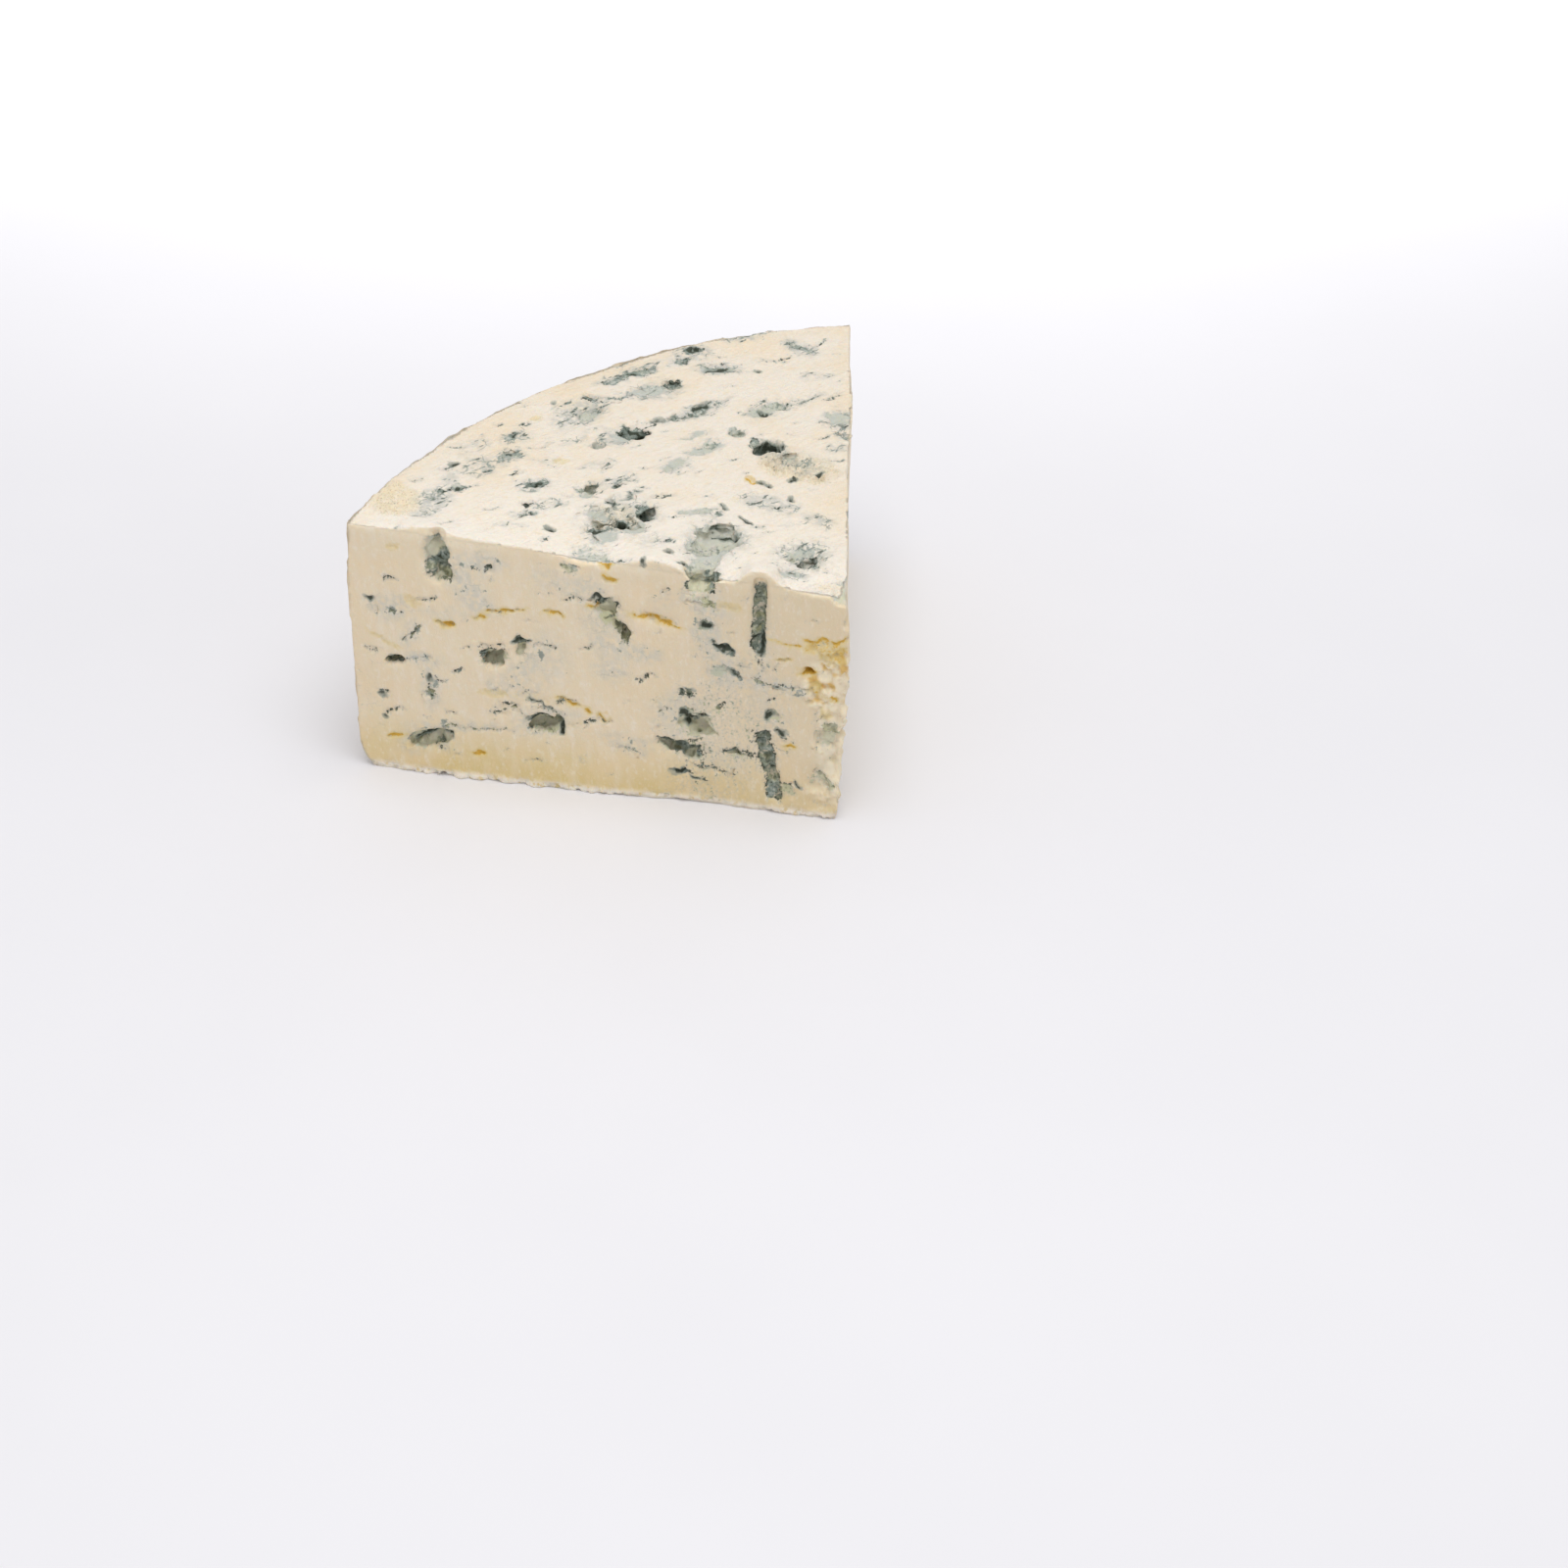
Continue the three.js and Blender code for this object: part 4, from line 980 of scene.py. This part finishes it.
browned = {"Vector": level, "Scale": 1 / COAT_SPECK, "Detail": 6, "Roughness": 0.65}
browned = add(tree, "TexNoise", browned)
share = add(tree, "MapRange", (browned, 0.5, 0.72, 0, 0.4))
coat = add(tree, "Mix", {0: share, 6: coat, 7: RIND_BROWN}, 2)
share = add(tree, "MapRange", (fine, 0.55, 0.75, 0, 0.35))
coat = add(tree, "Mix", {0: share, 6: coat, 7: RIND_BROWN}, 2)
colour = add(tree, "Mix", {0: on_rind, 6: colour, 7: coat}, 2)

# Relief finer than the mesh, and the sheen of moist paste among dry mould and rind
relief = {"Vector": long_way, "Scale": 1 / BUMP_GRAIN, "Detail": 4, "Roughness": 0.7}
relief = add(tree, "TexNoise", relief)
relief = add(tree, "Math", (relief, 0.7), operation="MULTIPLY")
specks = add(tree, "Math", (speckle, 0.2), operation="MULTIPLY")
relief = add(tree, "Math", (relief, specks), operation="ADD")
wrinkles = {"Vector": level, "Scale": 1 / COAT_WRINKLE, "Detail": 5, "Roughness": 0.65}
wrinkles = add(tree, "TexNoise", wrinkles)
wrinkles = add(tree, "Math", (wrinkles, on_rind), operation="MULTIPLY")
wrinkles = add(tree, "Math", (wrinkles, 2.0), operation="MULTIPLY")
relief = add(tree, "Math", (relief, wrinkles), operation="ADD")
firm = add(tree, "Math", (kept["upper"], 0.6, 0.4), operation="MULTIPLY_ADD")
bump = {"Strength": firm, "Distance": BUMP_HEIGHT * MM, "Height": relief}
bump = add(tree, "Bump", bump, "Normal")
wet = add(tree, "MapRange", (middling, 0.35, 0.65, 0, 0.16))
rough = add(tree, "Math", (mould_here, 0.3), operation="MULTIPLY")
rough = add(tree, "Math", (PASTE_ROUGHNESS, rough), operation="ADD")
rough = add(tree, "Math", (rough, wet), operation="SUBTRACT")
dry_rind = add(tree, "Math", (on_rind, 0.2), operation="MULTIPLY")
rough = add(tree, "Math", (rough, dry_rind), operation="ADD")
finish = add(tree, "BsdfPrincipled", {
    "Base Color": colour,
    "Roughness": rough,
    "Specular IOR Level": PASTE_SHEEN,
    "Subsurface Weight": LIGHT_LET_IN,
    "Subsurface Radius": (1.0, 0.65, 0.4),
    "Subsurface Scale": 0.001,
    "Normal": bump,
})
add(tree, "OutputMaterial", {"Surface": finish})
paste.data.materials.clear()
paste.data.materials.append(cheese)
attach(paste, "root")
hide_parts("cheese_wedge")


# The table top: a smooth pale sheet under the wedge, lit softly from above as in a studio.
TABLE_WHITE = "#ebeaee"
TABLE_SHADE = "#e5e4e8"
TABLE_HALF_SIDE = 3
TABLE_CLOUD = 150
WALLS_WHITE = "#ffffff"
WALLS_STRENGTH = 0.66
LAMP_SIDE = 0.8
OVERHEAD_WATTS = 7.6
OVERHEAD_PLACE = (0.08, -0.26, 1.25)
BACKDROP_WATTS = 5
BACKDROP_PLACE = (0, 0.95, 0.8)
BACKDROP_SPREAD = math.radians(75)


def add_lamp(name, place, watts):
    """A square lamp at a place in metres, which shines straight down until it is turned."""
    lamp = bpy.data.objects.new(name, bpy.data.lights.new(name, "AREA"))
    lamp.data.size = LAMP_SIDE
    lamp.data.energy = watts
    lamp.location = place
    bpy.context.scene.collection.objects.link(lamp)
    return lamp


table_top = new_material("pale_table_top")
tree = table_top.node_tree
place = add(tree, "TexCoord", (), "Object")
cloudy = {"Vector": place, "Scale": 1 / (TABLE_CLOUD * MM), "Detail": 3, "Roughness": 0.55}
cloudy = add(tree, "TexNoise", cloudy)
cloudy = add(tree, "MapRange", (cloudy, 0.3, 0.7, 0, 0.3))
shaded = add(tree, "Mix", {0: cloudy, 6: TABLE_WHITE, 7: TABLE_SHADE}, 2)
finish = add(tree, "BsdfPrincipled", {
    "Base Color": shaded,
    "Roughness": 0.5,
    "Specular IOR Level": 0.3,
})
add(tree, "OutputMaterial", {"Surface": finish})
sheet = bmesh.new()
bmesh.ops.create_grid(sheet, x_segments=8, y_segments=8, size=TABLE_HALF_SIDE)
mesh = bpy.data.meshes.new("table_top")
sheet.to_mesh(mesh)
sheet.free()
floor = bpy.data.objects.new("table_top", mesh)
floor.data.materials.append(table_top)
bpy.context.scene.collection.objects.link(floor)

world = bpy.data.worlds.new("studio_walls")
world.use_nodes = True
walls = world.node_tree.nodes["Background"].inputs
walls["Color"].default_value = srgb(WALLS_WHITE)
walls["Strength"].default_value = WALLS_STRENGTH
bpy.context.scene.world = world
bpy.context.scene.view_settings.view_transform = "Standard"
overhead = add_lamp("overhead_lamp", OVERHEAD_PLACE, OVERHEAD_WATTS)
overhead.rotation_euler = Vector(OVERHEAD_PLACE).to_track_quat("Z", "Y").to_euler()
backdrop = add_lamp("backdrop_lamp", BACKDROP_PLACE, BACKDROP_WATTS)
backdrop.data.spread = BACKDROP_SPREAD
